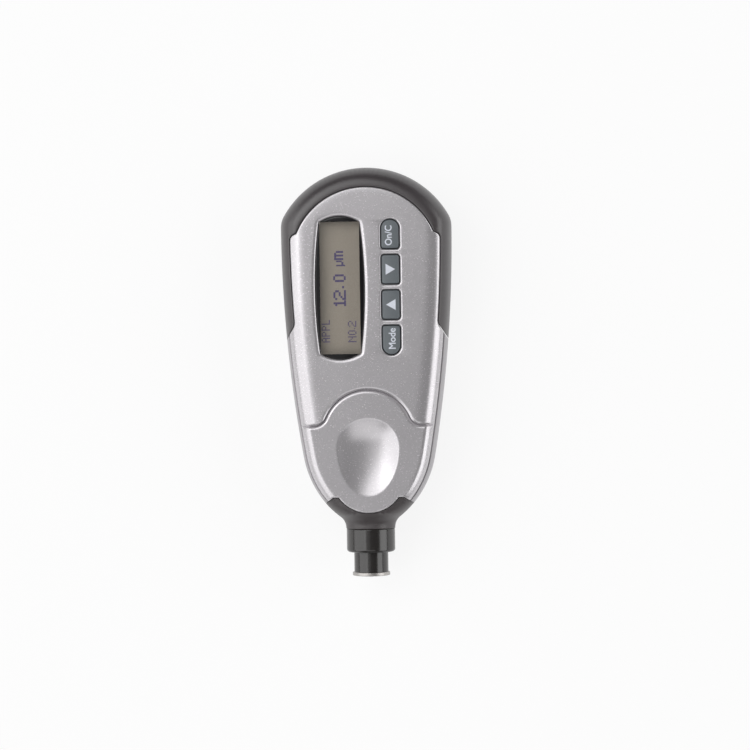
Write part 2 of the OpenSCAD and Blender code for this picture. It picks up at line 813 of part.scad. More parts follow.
module rear_cover() {
    color([0.72, 0.71, 0.73])
    difference() {
        union() {
            difference() {
                intersection() {
                    skin(rear_levels, half_t, true);
                    slab(-cut, part_h)
                        difference() {
                            core_plan(0);
                            nose_plan(0);
                        }
                }
                slab(floor_t, case_t)
                    cavity_plan(0);
            }
            // battery box, door rails, screw posts and the board's pegs, kept inside the case
            intersection() {
                union() {
                    box(
                        [-bay_w / 2 - bay_wall, bay_y0 - bay_wall, floor_t - sink],
                        [bay_w / 2 + bay_wall, bay_y1 + bay_wall, bay_z + roof_t]
                    );
                    box(
                        [-door_w / 2 - tongue_w - rail_w, door_y - door_fit - rail_w, floor_t - sink],
                        [door_w / 2 + tongue_w + rail_w, bay_y1 + bay_wall, rail_z + rail_t]
                    );
                    for (p = post_at)
                        translate([p.x, p.y, floor_t - sink])
                            cylinder(d = post_d, h = post_h - floor_t + sink);
                    for (p = peg_at)
                        translate([p.x, p.y, bay_z]) {
                            cylinder(d = peg_d + 2 * peg_shoulder, h = board_z - bay_z);
                            cylinder(d = peg_d, h = peg_z - bay_z);
                        }
                }
                slab(0, part_h)
                    core_plan(wall_t / 4);
            }
        }
        box([-bay_w / 2, bay_y0, -cut], [bay_w / 2, bay_y1, bay_z]);
        box(
            [-door_w / 2 - door_fit, door_y - door_fit, -cut],
            [door_w / 2 + door_fit, y_top + cut, rail_z]
        );
        box(
            [-door_w / 2 - tongue_w - door_fit, door_y - door_fit, door_t - tongue_t - door_play],
            [door_w / 2 + tongue_w + door_fit, y_top + cut, rail_z]
        );
        for (p = post_at)
            translate([p.x, p.y, -cut]) {
                cylinder(d = head_d + 4 * screw_fit, h = recess_h + cut);
                cylinder(d = screw_d + 2 * screw_fit, h = case_t);
            }
        bar(shank_d + 2 * press_fit, y_nose - cut, cavity_y + cut);
    }
}

module battery_door() {
    color([0.7, 0.69, 0.71])
    difference() {
        intersection() {
            skin(door_levels, half_t, true);
            union() {
                box([-door_w / 2, door_y, -cut], [door_w / 2, y_top + cut, door_t]);
                box(
                    [-door_w / 2 - tongue_w, door_y, door_t - tongue_t],
                    [door_w / 2 + tongue_w, y_top + cut, door_t]
                );
            }
        }
        for (i = [0 : grip_n - 1])
            translate([-grip_w / 2, door_y + grip_in + i * grip_pitch, -cut])
                cube([grip_w, grip_pitch / 2, grip_h + cut]);
    }
}

module top_bumper() {
    color([0.33, 0.32, 0.33])
    difference() {
        skin(bumper_levels, half_t - bumper_step, false);
        slab(-cut, case_t + cut)
            core_plan(-bumper_fit);
        box(
            [-door_w / 2 - 2 * door_fit, top_y, -cut],
            [door_w / 2 + 2 * door_fit, y_top + cut, rail_z + door_fit]
        );
        box(
            [-door_w / 2 - tongue_w - 2 * door_fit, top_y, door_t - tongue_t - door_fit],
            [door_w / 2 + tongue_w + 2 * door_fit, y_top + cut, rail_z + door_fit]
        );
    }
}

// The boot's outer form: half width, half height and fullness along the nose
function boot_w(y) =
    y > flare_y ? low_x + sqrt(pow(low_r, 2) - pow(y - low_y, 2))
    : y > neck_y ? neck_r + flare_r - sqrt(pow(flare_r, 2) - pow(y - neck_y, 2))
    : neck_r;
function boot_h(y) = min(half_t - boot_step, boot_w(y));
function boot_p(y) = 2 + 1.6 * max(0, min(1, (y - flare_y) / (horn_y - flare_y)));
function boot_ring(y) = [for (i = [0 : 39]) let (a = 9 * i + 4.5, p = boot_p(y)) [
    sign(cos(a)) * boot_w(y) * pow(abs(cos(a)), 2 / p),
    y,
    axis_z + sign(sin(a)) * boot_h(y) * pow(abs(sin(a)), 2 / p)
]];

module nose_boot() {
    nose = [for (t = [0 : 5]) flare_y + (horn_y + cut - flare_y) * (1 - t / 5)];
    flare = [for (t = [1 : 4]) flare_y + (neck_y - flare_y) * t / 4];
    stations = concat(nose, flare, [y_nose]);
    color([0.29, 0.28, 0.29])
    difference() {
        intersection() {
            stack([for (i = [len(stations) - 1 : -1 : 0]) boot_ring(stations[i])]);
            slab(-cut, case_t + cut)
                nose_plan(bumper_fit);
        }
        bar(shank_d + 2 * press_fit, y_nose - cut, horn_y + beyond);
    }
}

module display_window() {
    color([0.12, 0.12, 0.12])
    slab(face_z - window_t, face_z)
        window_plan(window_fit);
}

module lcd_panel() {
    color([0.55, 0.55, 0.48])
    translate([window_x, panel_y, lcd_z]) {
        translate([-lcd_w / 2, -lcd_l / 2, 0])
            cube([lcd_w, lcd_l, lcd_t / 2]);
        translate([-view_w / 2 - lcd_border, -view_l / 2 - lcd_border, lcd_t / 2])
            cube([view_w + 2 * lcd_border, view_l + 2 * lcd_border, lcd_t / 2]);
    }
}

module lcd_contacts() {
    color([0.6, 0.35, 0.5])
    for (s = [-1, 1])
        translate([window_x + s * (lcd_w - strip_w) / 2 - strip_w / 2, panel_y - view_l / 2, board_top])
            cube([strip_w, view_l, lcd_z - board_top]);
}

module backlight() {
    w = lcd_w - 2 * strip_w - 2 * light_gap;
    color([0.9, 0.92, 0.85])
    translate([window_x - w / 2, panel_y - view_l / 2, board_top])
        cube([w, view_l, light_t]);
}

module key(i) {
    color([0.45, 0.47, 0.48]) {
        intersection() {
            slab(key_z - key_flange_t, face_z + key_out)
                key_plan(i, 0);
            translate([key_x, 0, face_z + key_out - key_crown])
                rotate([-90, 0, 0])
                    cylinder(r = key_crown, h = case_l, center = true, $fn = 160);
        }
        slab(key_z - key_flange_t, key_z)
            key_plan(i, key_flange);
        translate([key_x, key_y[i], plunger_z])
            cylinder(d = plunger_d, h = key_z - key_flange_t / 2 - plunger_z);
    }
}

module key_on() {
    key(0);
}

module key_right() {
    key(1);
}

module key_left() {
    key(2);
}

module key_mode() {
    key(3);
}

module dome_sheet() {
    color([0.8, 0.8, 0.82]) {
        translate([key_x - dome_d / 2 - sheet_border, key_y[3] - key_l / 2, board_top])
            cube([dome_d + 2 * sheet_border, 3 * key_pitch + key_l, sheet_t]);
        for (y = key_y)
            translate([key_x, y, board_top])
                cylinder(d1 = dome_d, d2 = dome_d / 2, h = sheet_t + dome_h);
    }
}

module main_board() {
    color([0.1, 0.4, 0.25])
    difference() {
        box([-board_w / 2, board_y0, board_z], [board_w / 2, board_y1, board_top]);
        for (p = peg_at)
            translate([p.x, p.y, board_z - cut])
                cylinder(d = peg_d + 2 * peg_fit, h = board_t + 2 * cut);
    }
}

module board_chips() {
    color([0.15, 0.15, 0.16])
    translate([0, board_y0, board_top]) {
        translate([chip_in - board_w / 2, chip_up, 0])
            cube([chip_w, chip_w * 0.8, chip_t]);
        for (i = [0, 1])
            translate([board_w / 2 - chip_in - small_w, chip_up + i * (small_l + chip_in), 0])
                cube([small_w, small_l, chip_t * 0.8]);
    }
}

module buzzer() {
    color([0.12, 0.12, 0.13])
    translate([board_w / 4, board_y0 + buzzer_d / 2 + 1, board_z - buzzer_h])
        difference() {
            cylinder(d = buzzer_d, h = buzzer_h);
            translate([0, 0, -cut])
                cylinder(d = buzzer_d / 5, h = cut + 0.6);
        }
}

module probe_socket() {
    color([0.9, 0.88, 0.8])
    box([-socket_w / 2, socket_y, board_top], [socket_w / 2, socket_y + socket_l, board_top + socket_h]);
}

// Each lead is a tube along two equal bends, one the other way round, from the probe's guide up to the socket
module probe_leads() {
    run = socket_y - guide_y1;
    rise = board_top + socket_h / 2 - axis_z;
    turn = 2 * atan(rise / run);
    r = run / (2 * sin(turn));
    bend = [for (i = [0 : n_lead]) turn * i / n_lead];
    way = concat(
        [for (a = bend) [a, guide_y1 + r * sin(a), axis_z + r * (1 - cos(a))]],
        [for (i = [n_lead - 1 : -1 : 0]) let (a = bend[i])
            [a, socket_y - r * sin(a), axis_z + rise - r * (1 - cos(a))]]
    );
    color([0.75, 0.1, 0.1])
    for (s = [-1, 1])
        stack([for (w = way) [for (b = [0 : 45 : 315]) [
            (s * lead_gap + lead_d * cos(b)) / 2,
            w[1] - sin(w[0]) * sin(b) * lead_d / 2,
            w[2] + cos(w[0]) * sin(b) * lead_d / 2
        ]]]);
}

// One cell, from its flat end towards its stud
module cell() {
    rotate([-90, 0, 0]) {
        cylinder(d = cell_d, h = cell_l - stud_h);
        cylinder(d = stud_d, h = cell_l);
    }
}

module battery_cells() {
    color([0.35, 0.5, 0.35]) {
        translate([-cell_pitch / 2, bay_y1 - contact_t - contact_gap - cell_l, cell_z])
            cell();
        translate([cell_pitch / 2, bay_y0 + contact_t + contact_gap + cell_l, cell_z])
            rotate([0, 0, 180])
                cell();
    }
}

// A bent leaf that presses on a cell's flat end
module leaf() {
    h = contact_room - contact_t - 2 * contact_gap;
    w = cell_d / 3;
    t = contact_t;
    linear_extrude(contact_w, center = true) {
        translate([contact_in - cell_d / 2, 0])
            square([cell_d - 2 * contact_in, t]);
        difference() {
            polygon(mirrored([[w / 3, h], [w, t / 2]]));
            polygon(mirrored([[w / 3 - t, h - t], [w - t, -cut]]));
        }
    }
}

module battery_contacts() {
    color([0.8, 0.78, 0.7]) {
        translate([-cell_pitch / 2, bay_y0, cell_z])
            leaf();
        translate([cell_pitch / 2 - cell_d / 2 + contact_in, bay_y0, cell_z - contact_w / 2])
            cube([cell_d - 2 * contact_in, contact_t, contact_w]);
    }
}

module battery_bridge() {
    color([0.8, 0.78, 0.7]) {
        translate([cell_pitch / 2, bay_y1, cell_z])
            rotate([0, 0, 180])
                leaf();
        translate([contact_in - cell_pitch / 2 - cell_d / 2, bay_y1 - contact_t, cell_z - contact_w / 2])
            cube([cell_pitch, contact_t, contact_w]);
    }
}

module case_screws() {
    color([0.6, 0.6, 0.62])
    for (p = post_at)
        translate([p.x, p.y, recess_h - head_h])
            difference() {
                union() {
                    cylinder(d = head_d, h = head_h);
                    cylinder(d = screw_d, h = inner_z - screw_in - recess_h + head_h);
                }
                for (a = [0, 90])
                    rotate([0, 0, a])
                        translate([-head_d / 3, -slot_w / 2, -cut])
                            cube([head_d * 2 / 3, slot_w, cut + head_h / 2]);
            }
}

module probe_collar() {
    r = collar_d / 2;
    profile = concat(
        [[sleeve_d / 2 + press_fit, collar_y0]],
        full_arc([r - collar_edge, collar_y0 + collar_edge], collar_edge, -90, 0, 6),
        [
            [r, y_nose],
            [shank_d / 2, y_nose],
            [shank_d / 2, shank_y1],
            [sleeve_d / 2 + press_fit, shank_y1]
        ]
    );
    color([0.16, 0.15, 0.15])
    along_probe()
        rotate_extrude()
            polygon(profile);
}

module probe_nut() {
    color([0.75, 0.7, 0.55])
    difference() {
        bar(nut_d, cavity_y + seat_gap, cavity_y + nut_t);
        bar(shank_d + 2 * press_fit, cavity_y - cut, cavity_y + nut_t + cut);
        along_probe()
            for (i = [0 : nut_n - 1])
                rotate([0, 0, 45 + i * 360 / nut_n])
                    translate([nut_d / 2 - nut_slot_h, -nut_slot_w / 2, cavity_y + nut_t / 2])
                        cube([nut_d, nut_slot_w, nut_t]);
    }
}

module probe_sleeve() {
    color([0.2, 0.19, 0.19])
    difference() {
        bar(sleeve_d, ring_y1, sleeve_y1);
        bar(ring_hole_d, ring_y1 - cut, ring_y1 + cut);
        bar(2 * bore_r, ring_y1 + sleeve_end, sleeve_y1 + cut);
    }
}

module wear_ring() {
    color([0.8, 0.8, 0.82])
    difference() {
        bar(ring_d, ring_y0, ring_y1);
        bar(ring_hole_d, ring_y0 - cut, ring_y1 + cut);
    }
}

module pole_pin() {
    edge = asin(pin_d / 2 / tip_r);
    color([0.85, 0.85, 0.87])
    along_probe()
        rotate_extrude()
            polygon(concat(
                full_arc([0, tip_y + tip_r], tip_r, -90, edge - 90, 6),
                [
                    [pin_d / 2, bobbin_y1],
                    [rod_d / 2, bobbin_y1],
                    [rod_d / 2, rod_y1],
                    [0, rod_y1]
                ]
            ));
}

module coil_bobbin() {
    color([0.85, 0.8, 0.6])
    difference() {
        union() {
            bar(hub_d, bobbin_y0, bobbin_y1);
            for (i = [0, 1, 2])
                translate([0, i * (bobbin_l - bobbin_t) / 2, 0])
                    bar(bobbin_d, bobbin_y0, bobbin_y0 + bobbin_t);
        }
        bar(pin_d + 2 * press_fit, bobbin_y0 - cut, bobbin_y1 + cut);
    }
}

module probe_coils() {
    room = (bobbin_l - bobbin_t) / 2 - bobbin_t;
    color([0.7, 0.4, 0.2])
    for (i = [0, 1])
        translate([0, i * (bobbin_l - bobbin_t) / 2, 0])
            difference() {
                bar(coil_d, bobbin_y0 + bobbin_t + coil_gap, bobbin_y0 + bobbin_t + room - coil_gap);
                bar(hub_d + 2 * press_fit, bobbin_y0, bobbin_y0 + bobbin_t + room + cut);
            }
}

// The spring: a round wire along a helix, with its ends held off the pieces that it presses on
module probe_spring() {
    y0 = bobbin_y1 + wire_d / 2 + spring_gap;
    y1 = guide_y0 - wire_d / 2 - spring_gap;
    steps = 12 * spring_n;
    r = spring_d / 2;
    color([0.7, 0.7, 0.72])
    translate([0, 0, axis_z])
        rotate([-90, 0, 0])
            stack([for (i = [0 : steps]) let (a = 360 * spring_n * i / steps, y = y0 + (y1 - y0) * i / steps)
                [for (k = [5 : -1 : 0]) let (q = r + wire_d / 2 * cos(60 * k))
                    [q * cos(a), q * sin(a), y + wire_d / 2 * sin(60 * k)]]]);
}

module probe_guide() {
    color([0.85, 0.83, 0.75])
    difference() {
        union() {
            bar(sleeve_d, guide_y0, guide_y1);
            bar(shank_d, shank_y1 + seat_gap, guide_y1);
        }
        bar(rod_d + 2 * slide_fit, guide_y0 - cut, guide_y1 + cut);
    }
}

front_cover();
rear_cover();
battery_door();
top_bumper();
nose_boot();
display_window();
lcd_panel();
lcd_contacts();
backlight();
key_on();
key_right();
key_left();
key_mode();
dome_sheet();
main_board();
board_chips();
buzzer();
probe_socket();
probe_leads();
battery_cells();
battery_contacts();
battery_bridge();
case_screws();
probe_collar();
probe_nut();
probe_sleeve();
wear_ring();
pole_pin();
coil_bobbin();
probe_coils();
probe_spring();
probe_guide();
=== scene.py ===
"""Looks of a pocket gauge for coating thickness: fine shells, keys, display and probe around its solids."""

import math

import bmesh
import bpy
import numpy as np
from mathutils import Matrix, Vector
from mathutils.geometry import delaunay_2d_cdt


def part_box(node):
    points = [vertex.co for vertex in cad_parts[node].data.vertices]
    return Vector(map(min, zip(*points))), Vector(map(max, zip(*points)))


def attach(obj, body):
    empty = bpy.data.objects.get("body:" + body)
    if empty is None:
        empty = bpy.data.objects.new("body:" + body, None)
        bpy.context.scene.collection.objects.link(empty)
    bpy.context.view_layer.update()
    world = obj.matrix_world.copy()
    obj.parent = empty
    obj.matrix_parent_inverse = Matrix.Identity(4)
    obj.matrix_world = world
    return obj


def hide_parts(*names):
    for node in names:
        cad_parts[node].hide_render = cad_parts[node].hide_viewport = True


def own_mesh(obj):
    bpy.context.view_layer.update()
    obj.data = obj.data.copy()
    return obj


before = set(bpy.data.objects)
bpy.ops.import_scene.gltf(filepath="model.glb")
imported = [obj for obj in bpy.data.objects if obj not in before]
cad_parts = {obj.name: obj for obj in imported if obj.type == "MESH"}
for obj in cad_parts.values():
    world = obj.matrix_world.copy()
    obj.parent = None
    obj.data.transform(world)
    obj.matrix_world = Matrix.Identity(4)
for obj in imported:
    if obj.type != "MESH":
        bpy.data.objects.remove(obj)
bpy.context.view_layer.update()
MM = 0.001


def box_mm(node):
    """Lowest and highest corner of a solid, in millimetres."""
    return tuple(np.array(corner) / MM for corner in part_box(node))


# Sizes in millimetres and turns in degrees; names with _P are powers of a rounded section.
# Sizes that the solids show are read from them, and the others repeat the solids' driving sizes.

# Case: outline, rounded edge and parting
HALF_W = box_mm("top_bumper")[1][0]
Y_TOP = box_mm("top_bumper")[1][1]
Y_NOSE = box_mm("nose_boot")[0][1]
FACE_Z = box_mm("front_cover")[1][2]
HALF_T = FACE_Z / 2
AXIS_Z = HALF_T
TOP_H = 17.35
CORNER_R = 6.9
LOW_R = 29.0
LOW_TURN = 51.5
SKIN_TURN = LOW_TURN + 4
SKIN_SPARE = 8  # Degrees past the last arc that still count as its skin
EDGE_W = 6.0
EDGE_P = 2.5
SHOULDER_W = 8.2
SHOULDER_P = 2.95
PART_Z = 19.8
PART_GAP = 0.25
JOINT_IN = 0.5
INNER_Z = FACE_Z - 2.2
FACE_WALL = 1.5
FRONT_LAP = 0.6
FLOOR_T = 2.0
WALL_T = 1.8
LOW_WALL_T = 4.2
CAVITY_Y = Y_NOSE + 14.1
COVER_EDGE_R = 0.35
BLEND = 0.15

# Bumper and its ears
BUMPER_W = 6.4
BUMPER_SIDE = 3.3
BUMPER_STEP = 0.4
BUMPER_FIT = 0.1
BUMPER_EDGE_R = 0.45
EAR_Y = Y_TOP - 19.3
EAR_FALL = 2.3
EAR_R = 1.7
EAR_ROOT = 4.4
TAPER_Y = Y_TOP - 46.1
TAPER_SLOPE = 1.5
TAPER_R = 3.5

# Nose boot and the covers' round lower end
FLARE_R = 4.0
NECK_R = 7.2
NECK_L = 0.2
CHIN_R = 10.5
CHIN_Y = Y_NOSE + 5.0
HORN_H = 4.5
HORN_W = 1.7
HORN_R = 0.5
HORN_SLOPE = 0.7
BOOT_STEP = 1.0
BOOT_EDGE_R = 0.4
BOOT_P = 2.0
BOOT_P_RISE = 1.6
BORE_R = 6.03
BORE_SPARE = 1.0
BOOT_BORE = 5.0

# Lower panel, its groove and the thumb hollow
PANEL_Z = FACE_Z - 0.7
STEP_Y = Y_TOP - 75.4
STEP_R = 13.2
STEP_RISE = 10.4
STEP_FILLET = 3.9
GROOVE_HALF = 0.25
GROOVE_DEEP = 0.4
GROOVE_RIM = 0.8
GROOVE_RIM_R = 1.25
GROOVE_END = 1.5
THUMB_Y = Y_TOP - 81.6
THUMB_W = 17.9
THUMB_UP = 8.4
THUMB_DOWN = 14.2
THUMB_H = 1.6
THUMB_BLEND = 0.1

# Display window and keys
WINDOW_BULGE = 1.23
WINDOW_CROWN = 1.8
WINDOW_FIT = 0.08
WINDOW_NARROW = 0.27
WINDOW_SHORT = 0.3
WINDOW_RIM = 1.1
WINDOW_DOWN = 0.2
WINDOW_EDGE_R = 0.25
KEY_RIM = 0.65
RIM_DROP = 0.5
VIEW_W = 11.6
VIEW_L = 38.3
KEY_FIT = 0.25
KEY_R = 0.7
KEY_EDGE_R = 0.3
KEY_CROWN = 14.0
KEY_FLANGE = 0.45
KEY_FLANGE_T = 0.8
KEY_FLANGE_Z = INNER_Z - 0.2
PRINT_T = 0.02

# Battery door, bay and screw posts
DOOR_W = 26.8
DOOR_Y = Y_TOP - 62.5
DOOR_Z = box_mm("battery_door")[1][2]
DOOR_FIT = 0.2
DOOR_EDGE_R = 0.35
TONGUE_W = 1.0
TONGUE_T = 0.85
GRIP_N = 5
GRIP_W = 12.0
GRIP_PITCH = 2.0
GRIP_IN = 4.0
GRIP_H = 0.4
RAIL_FIT = 0.15
RAIL_Z = DOOR_Z + RAIL_FIT
RAIL_W = 1.2
RAIL_T = 1.5
BAY_W = 22.6
BAY_Y1 = Y_TOP - 11.4
BAY_Y0 = BAY_Y1 - 48.7
BAY_Z = 12.85
BAY_WALL = 1.2
ROOF_T = 1.0
CELL_D = 10.4
CELL_L = 44.5
CELL_X = 5.6
CELL_Z = 7.45
CELL_EDGE_R = 0.3
CELL_CRIMP = 0.5
CELL_BAND_FROM = 0.7
STUD_R = 1.8
STUD_H = 1.2
SCREW_HOLE_R = 2.3
SCREW_HOLE_Z = 3.2
SCREW_EDGE_R = 0.3
POST_R = 2.8
POST_Z = 14.9
UPPER_POST_IN = 7.4
UPPER_POST_DOWN = 6.6
LOWER_POST_X = 11.5
LOWER_POST_UP = 18.6

# Probe
COLLAR_EDGE_R = 0.9
COLLAR_TOP_R = 0.35
SHANK_R = 6.0
SLEEVE_FIT = 0.03
SLEEVE_WALL = 0.8
SLEEVE_END = 0.6
PIN_HOLE_R = 2.4
RING_EDGE_R = 0.25
SPRING_WIRE_R = 0.3
SPRING_TURNS = 6

# Mesh: thinnest edge, gap between two rows that hold a wall, rows beside a rounded edge, points in one go
THIN_EDGE = 0.04
STEP_GAP = 0.02
EDGE_SHARES = (0.06, 0.22, 0.45, 0.72, 1.0)
CHUNK = 1500
SHARP = 38  # Faces that meet at a larger angle, in degrees, keep a sharp edge

# The outline's arcs, each tangent to the next: centre, radius, first and last angle
CORNER_X = HALF_W - CORNER_R
CORNER_Y = Y_TOP - TOP_H
TOP_R = (CORNER_X**2 + TOP_H**2 - CORNER_R**2) / (2 * (TOP_H - CORNER_R))
TOP_C = Y_TOP - TOP_R
JOIN_A = math.degrees(math.atan2(CORNER_Y - TOP_C, CORNER_X))
NECK_Y = Y_NOSE + NECK_L
SIDE_IN = HALF_W - NECK_R - (LOW_R + FLARE_R) * (1 - math.cos(math.radians(LOW_TURN)))
SIDE_DOWN = CORNER_Y - NECK_Y - (LOW_R + FLARE_R) * math.sin(math.radians(LOW_TURN))
SIDE_TURN = 2 * math.degrees(math.atan(SIDE_IN / SIDE_DOWN))
SIDE_R = LOW_R + SIDE_DOWN / math.sin(math.radians(SIDE_TURN))
SIDE_X = HALF_W - SIDE_R
LOW_X = SIDE_X + (SIDE_R - LOW_R) * math.cos(math.radians(SIDE_TURN))
LOW_Y = CORNER_Y - (SIDE_R - LOW_R) * math.sin(math.radians(SIDE_TURN))
FLARE_Y = LOW_Y - LOW_R * math.sin(math.radians(LOW_TURN))
OUTLINE = [
    ((0, TOP_C), TOP_R, 90, JOIN_A),
    ((CORNER_X, CORNER_Y), CORNER_R, JOIN_A, 0),
    ((SIDE_X, CORNER_Y), SIDE_R, 0, -SIDE_TURN),
    ((LOW_X, LOW_Y), LOW_R, -SIDE_TURN, -SKIN_TURN),
]
ARCH_R = TOP_R - BUMPER_W
STEP_C = STEP_Y + STEP_RISE - STEP_R
HORN_Y = CHIN_Y + HORN_H
HORN_X = math.sqrt(CHIN_R**2 - (CHIN_R - HORN_H) ** 2)
UPPER_POST = (HALF_W - UPPER_POST_IN, CORNER_Y - UPPER_POST_DOWN)
LOWER_POST = (LOWER_POST_X, Y_NOSE + LOWER_POST_UP)
POSTS = [(s * x, y) for s in (-1, 1) for x, y in (UPPER_POST, LOWER_POST)]


def arc(centre, r, a0, a1, step=0.7):
    """Points of an arc, both ends included, about step apart on the full-size curve."""
    turn = min(3.0, math.degrees(step / max(abs(r), 0.1))) if abs(r) > step else 15.0
    n = max(2, math.ceil(abs(a1 - a0) / turn))
    a = np.radians(np.linspace(a0, a1, n + 1))
    return np.column_stack([centre[0] + r * np.cos(a), centre[1] + r * np.sin(a)])


def line(p, q, step=0.7):
    """Points of a straight line, both ends included."""
    p, q = np.array(p, float), np.array(q, float)
    n = max(1, math.ceil(np.linalg.norm(q - p) / step))
    return p + (q - p) * np.linspace(0, 1, n + 1)[:, None]


def join(*lines):
    """One line out of several, without the points that two of them share."""
    points = np.concatenate([np.asarray(part, float) for part in lines])
    apart = np.linalg.norm(np.diff(points, axis=0), axis=1) > 1e-6
    return points[np.concatenate([[True], apart])]


def mirrored(half):
    """A closed loop out of its right half, which runs from the top to the bottom."""
    left = half[::-1] * [-1, 1]
    loop = join(half, left)
    return loop[:-1] if np.linalg.norm(loop[0] - loop[-1]) < 1e-6 else loop


def clip(points, value):
    """The stretch of a line where value is not negative, with its ends found between points."""
    keep = np.flatnonzero(value >= 0)
    first, last = keep[0], keep[-1]
    part = [points[first : last + 1]]
    if first > 0:
        t = value[first] / (value[first] - value[first - 1])
        part.insert(0, [points[first] + (points[first - 1] - points[first]) * t])
    if last < len(points) - 1:
        t = value[last] / (value[last] - value[last + 1])
        part.append([points[last] + (points[last + 1] - points[last]) * t])
    return join(*part)


def half_outline(inset):
    """The right half of the case's outline, set in, with as many points at every inset."""
    parts = []
    for c, r, a0, a1 in OUTLINE:
        full = arc(c, r, a0, a1)
        parts.append(np.array(c) + (full - c) * (r - inset) / r)
    return join(*parts)


def inset_at(xy):
    """How far points lie inside the case's outline."""
    x, y = np.abs(xy[:, 0]), xy[:, 1]
    best = np.full(len(xy), HALF_W)
    for (cx, cy), r, a0, a1 in OUTLINE:
        turn = np.degrees(np.arctan2(y - cy, x - cx))
        low = a1 - SKIN_SPARE if a1 == -SKIN_TURN else a1
        on = (turn <= a0 + 1e-6) & (turn >= low - 1e-6)
        best = np.where(on, np.minimum(best, r - np.hypot(x - cx, y - cy)), best)
    return best


def edge_inset(angle):
    """Inset of the rounded edge at an angle from the middle of the thickness."""
    return EDGE_W * (1 - math.cos(math.radians(angle)) ** (2 / EDGE_P))


def edge_height(inset, half_h, w=EDGE_W, p=EDGE_P):
    """Height of the rounded edge above the middle of the thickness."""
    u = np.clip(1 - inset / w, 0, 1)
    return half_h * (1 - u**p) ** (1 / p)


def inset_at_height(z):
    """The inset at which the case's rounded edge reaches a height."""
    share = abs(z - HALF_T) / HALF_T
    return EDGE_W * (1 - (1 - share**EDGE_P) ** (1 / EDGE_P))


def side_at(y, inset):
    """Half width of the outline on its long side arc."""
    return SIDE_X + np.sqrt((SIDE_R - inset) ** 2 - (y - CORNER_Y) ** 2)


def taper_value(xy, g):
    """Positive below the bumper's slanted lower ends."""
    start_x = side_at(TAPER_Y - g, BUMPER_SIDE + g)
    return TAPER_Y - g - (np.abs(xy[:, 0]) - start_x) * TAPER_SLOPE - xy[:, 1]


def nose_value(xy, g):
    """Positive above the nose boot's slanted upper ends."""
    past = np.maximum(np.abs(xy[:, 0]) - HORN_X - HORN_W, 0)
    return xy[:, 1] - (HORN_Y - g - past * HORN_SLOPE)


def fillet(before, p, after, r):
    """A rounded corner at p."""
    before, p, after = (np.array(q, float) for q in (before, p, after))
    u = (before - p) / np.linalg.norm(before - p)
    v = (after - p) / np.linalg.norm(after - p)
    half = math.acos(float(u @ v)) / 2
    c = p + (u + v) / np.linalg.norm(u + v) * r / math.sin(half)
    s = p + u * r / math.tan(half) - c
    e = p + v * r / math.tan(half) - c
    a0 = math.degrees(math.atan2(s[1], s[0]))
    turn = math.degrees(math.atan2(s[0] * e[1] - s[1] * e[0], s @ e))
    return arc(c, r, a0, a0 + turn, 0.3)


def core_half(g):
    """Right edge of both covers inside the bumper, from the arch to past the bumper's lower end."""
    side_d = BUMPER_SIDE + g
    ear_in = np.array([ARCH_R - EAR_ROOT, EAR_Y + EAR_FALL / 2 - g])
    ear_p = np.array([side_at(EAR_Y - EAR_FALL, side_d), EAR_Y - EAR_FALL / 2 - g])
    below = EAR_Y - EAR_FALL - EAR_R
    bend = fillet(ear_in, ear_p, (side_at(below, side_d), below), EAR_R)
    shoulder = line(ear_in, bend[0], 0.2)
    shoulder = clip(shoulder, np.hypot(*(shoulder - [0, TOP_C]).T) - ARCH_R + g)
    start = shoulder[0]
    low_a = math.degrees(math.atan2(start[1] - TOP_C, start[0]))
    turn = np.array([side_at(TAPER_Y - g, side_d), TAPER_Y - g])
    above = TAPER_Y - g + TAPER_R
    out_x = HALF_W + 2
    out = np.array([out_x, turn[1] - (out_x - turn[0]) * TAPER_SLOPE])
    lower = fillet((side_at(above, side_d), above), turn, out, TAPER_R)
    ys = np.linspace(bend[-1][1], lower[0][1], 60)
    side = np.column_stack([side_at(ys, side_d), ys])
    arch = arc((0, TOP_C), ARCH_R - g, 90, low_a)
    return join(arch, shoulder, bend, side, lower, line(lower[-1], out, 0.3))


def cover_half(g, inset):
    """Right edge of a cover: core, outline below the bumper, nose line and round chin."""
    core = core_half(g)
    upper = clip(core, inset_at(core) - inset)
    outline = half_outline(inset)
    outline = clip(outline, np.minimum(taper_value(outline, g), nose_value(outline, -g)))
    return join(upper, outline, horn_line(outline[-1], -g), chin_line(-g))


def chin_line(g):
    """Right half of the covers' round lower end, made larger by g, from the boot's horn to the middle."""
    y = HORN_Y - g - CHIN_Y - CHIN_R
    r = CHIN_R + g
    return arc((0, CHIN_Y + CHIN_R), r, math.degrees(math.asin(y / r)), -90, 0.4)


def horn_line(start, g):
    """Upper edge of the boot's right horn, made smaller by g, from the outline to the round lower end."""
    tip = np.array([HORN_X + HORN_W, HORN_Y - g])
    inner = chin_line(g)[0]
    bend = fillet(start, tip, inner, HORN_R)
    return join(line(start, bend[0], 0.4), bend, line(bend[-1], inner, 0.3))


def rect(x, y0, y1):
    """A closed rectangle about the middle line."""
    return mirrored(join(line((0, y1), (x, y1)), line((x, y1), (x, y0)), line((x, y0), (0, y0))))


def circle(centre, r):
    """A closed circle that turns the same way as the other loops."""
    return arc(centre, r, 90, -270, 0.25)[:-1]


def cavity_half():
    """Right edge of the space inside the covers."""
    core = core_half(WALL_T)
    upper = clip(core, inset_at(core) - LOW_WALL_T)
    outline = half_outline(LOW_WALL_T)
    outline = clip(outline, np.minimum(taper_value(outline, WALL_T), outline[:, 1] - CAVITY_Y))
    return join(upper, outline, line(outline[-1], (0, CAVITY_Y)))


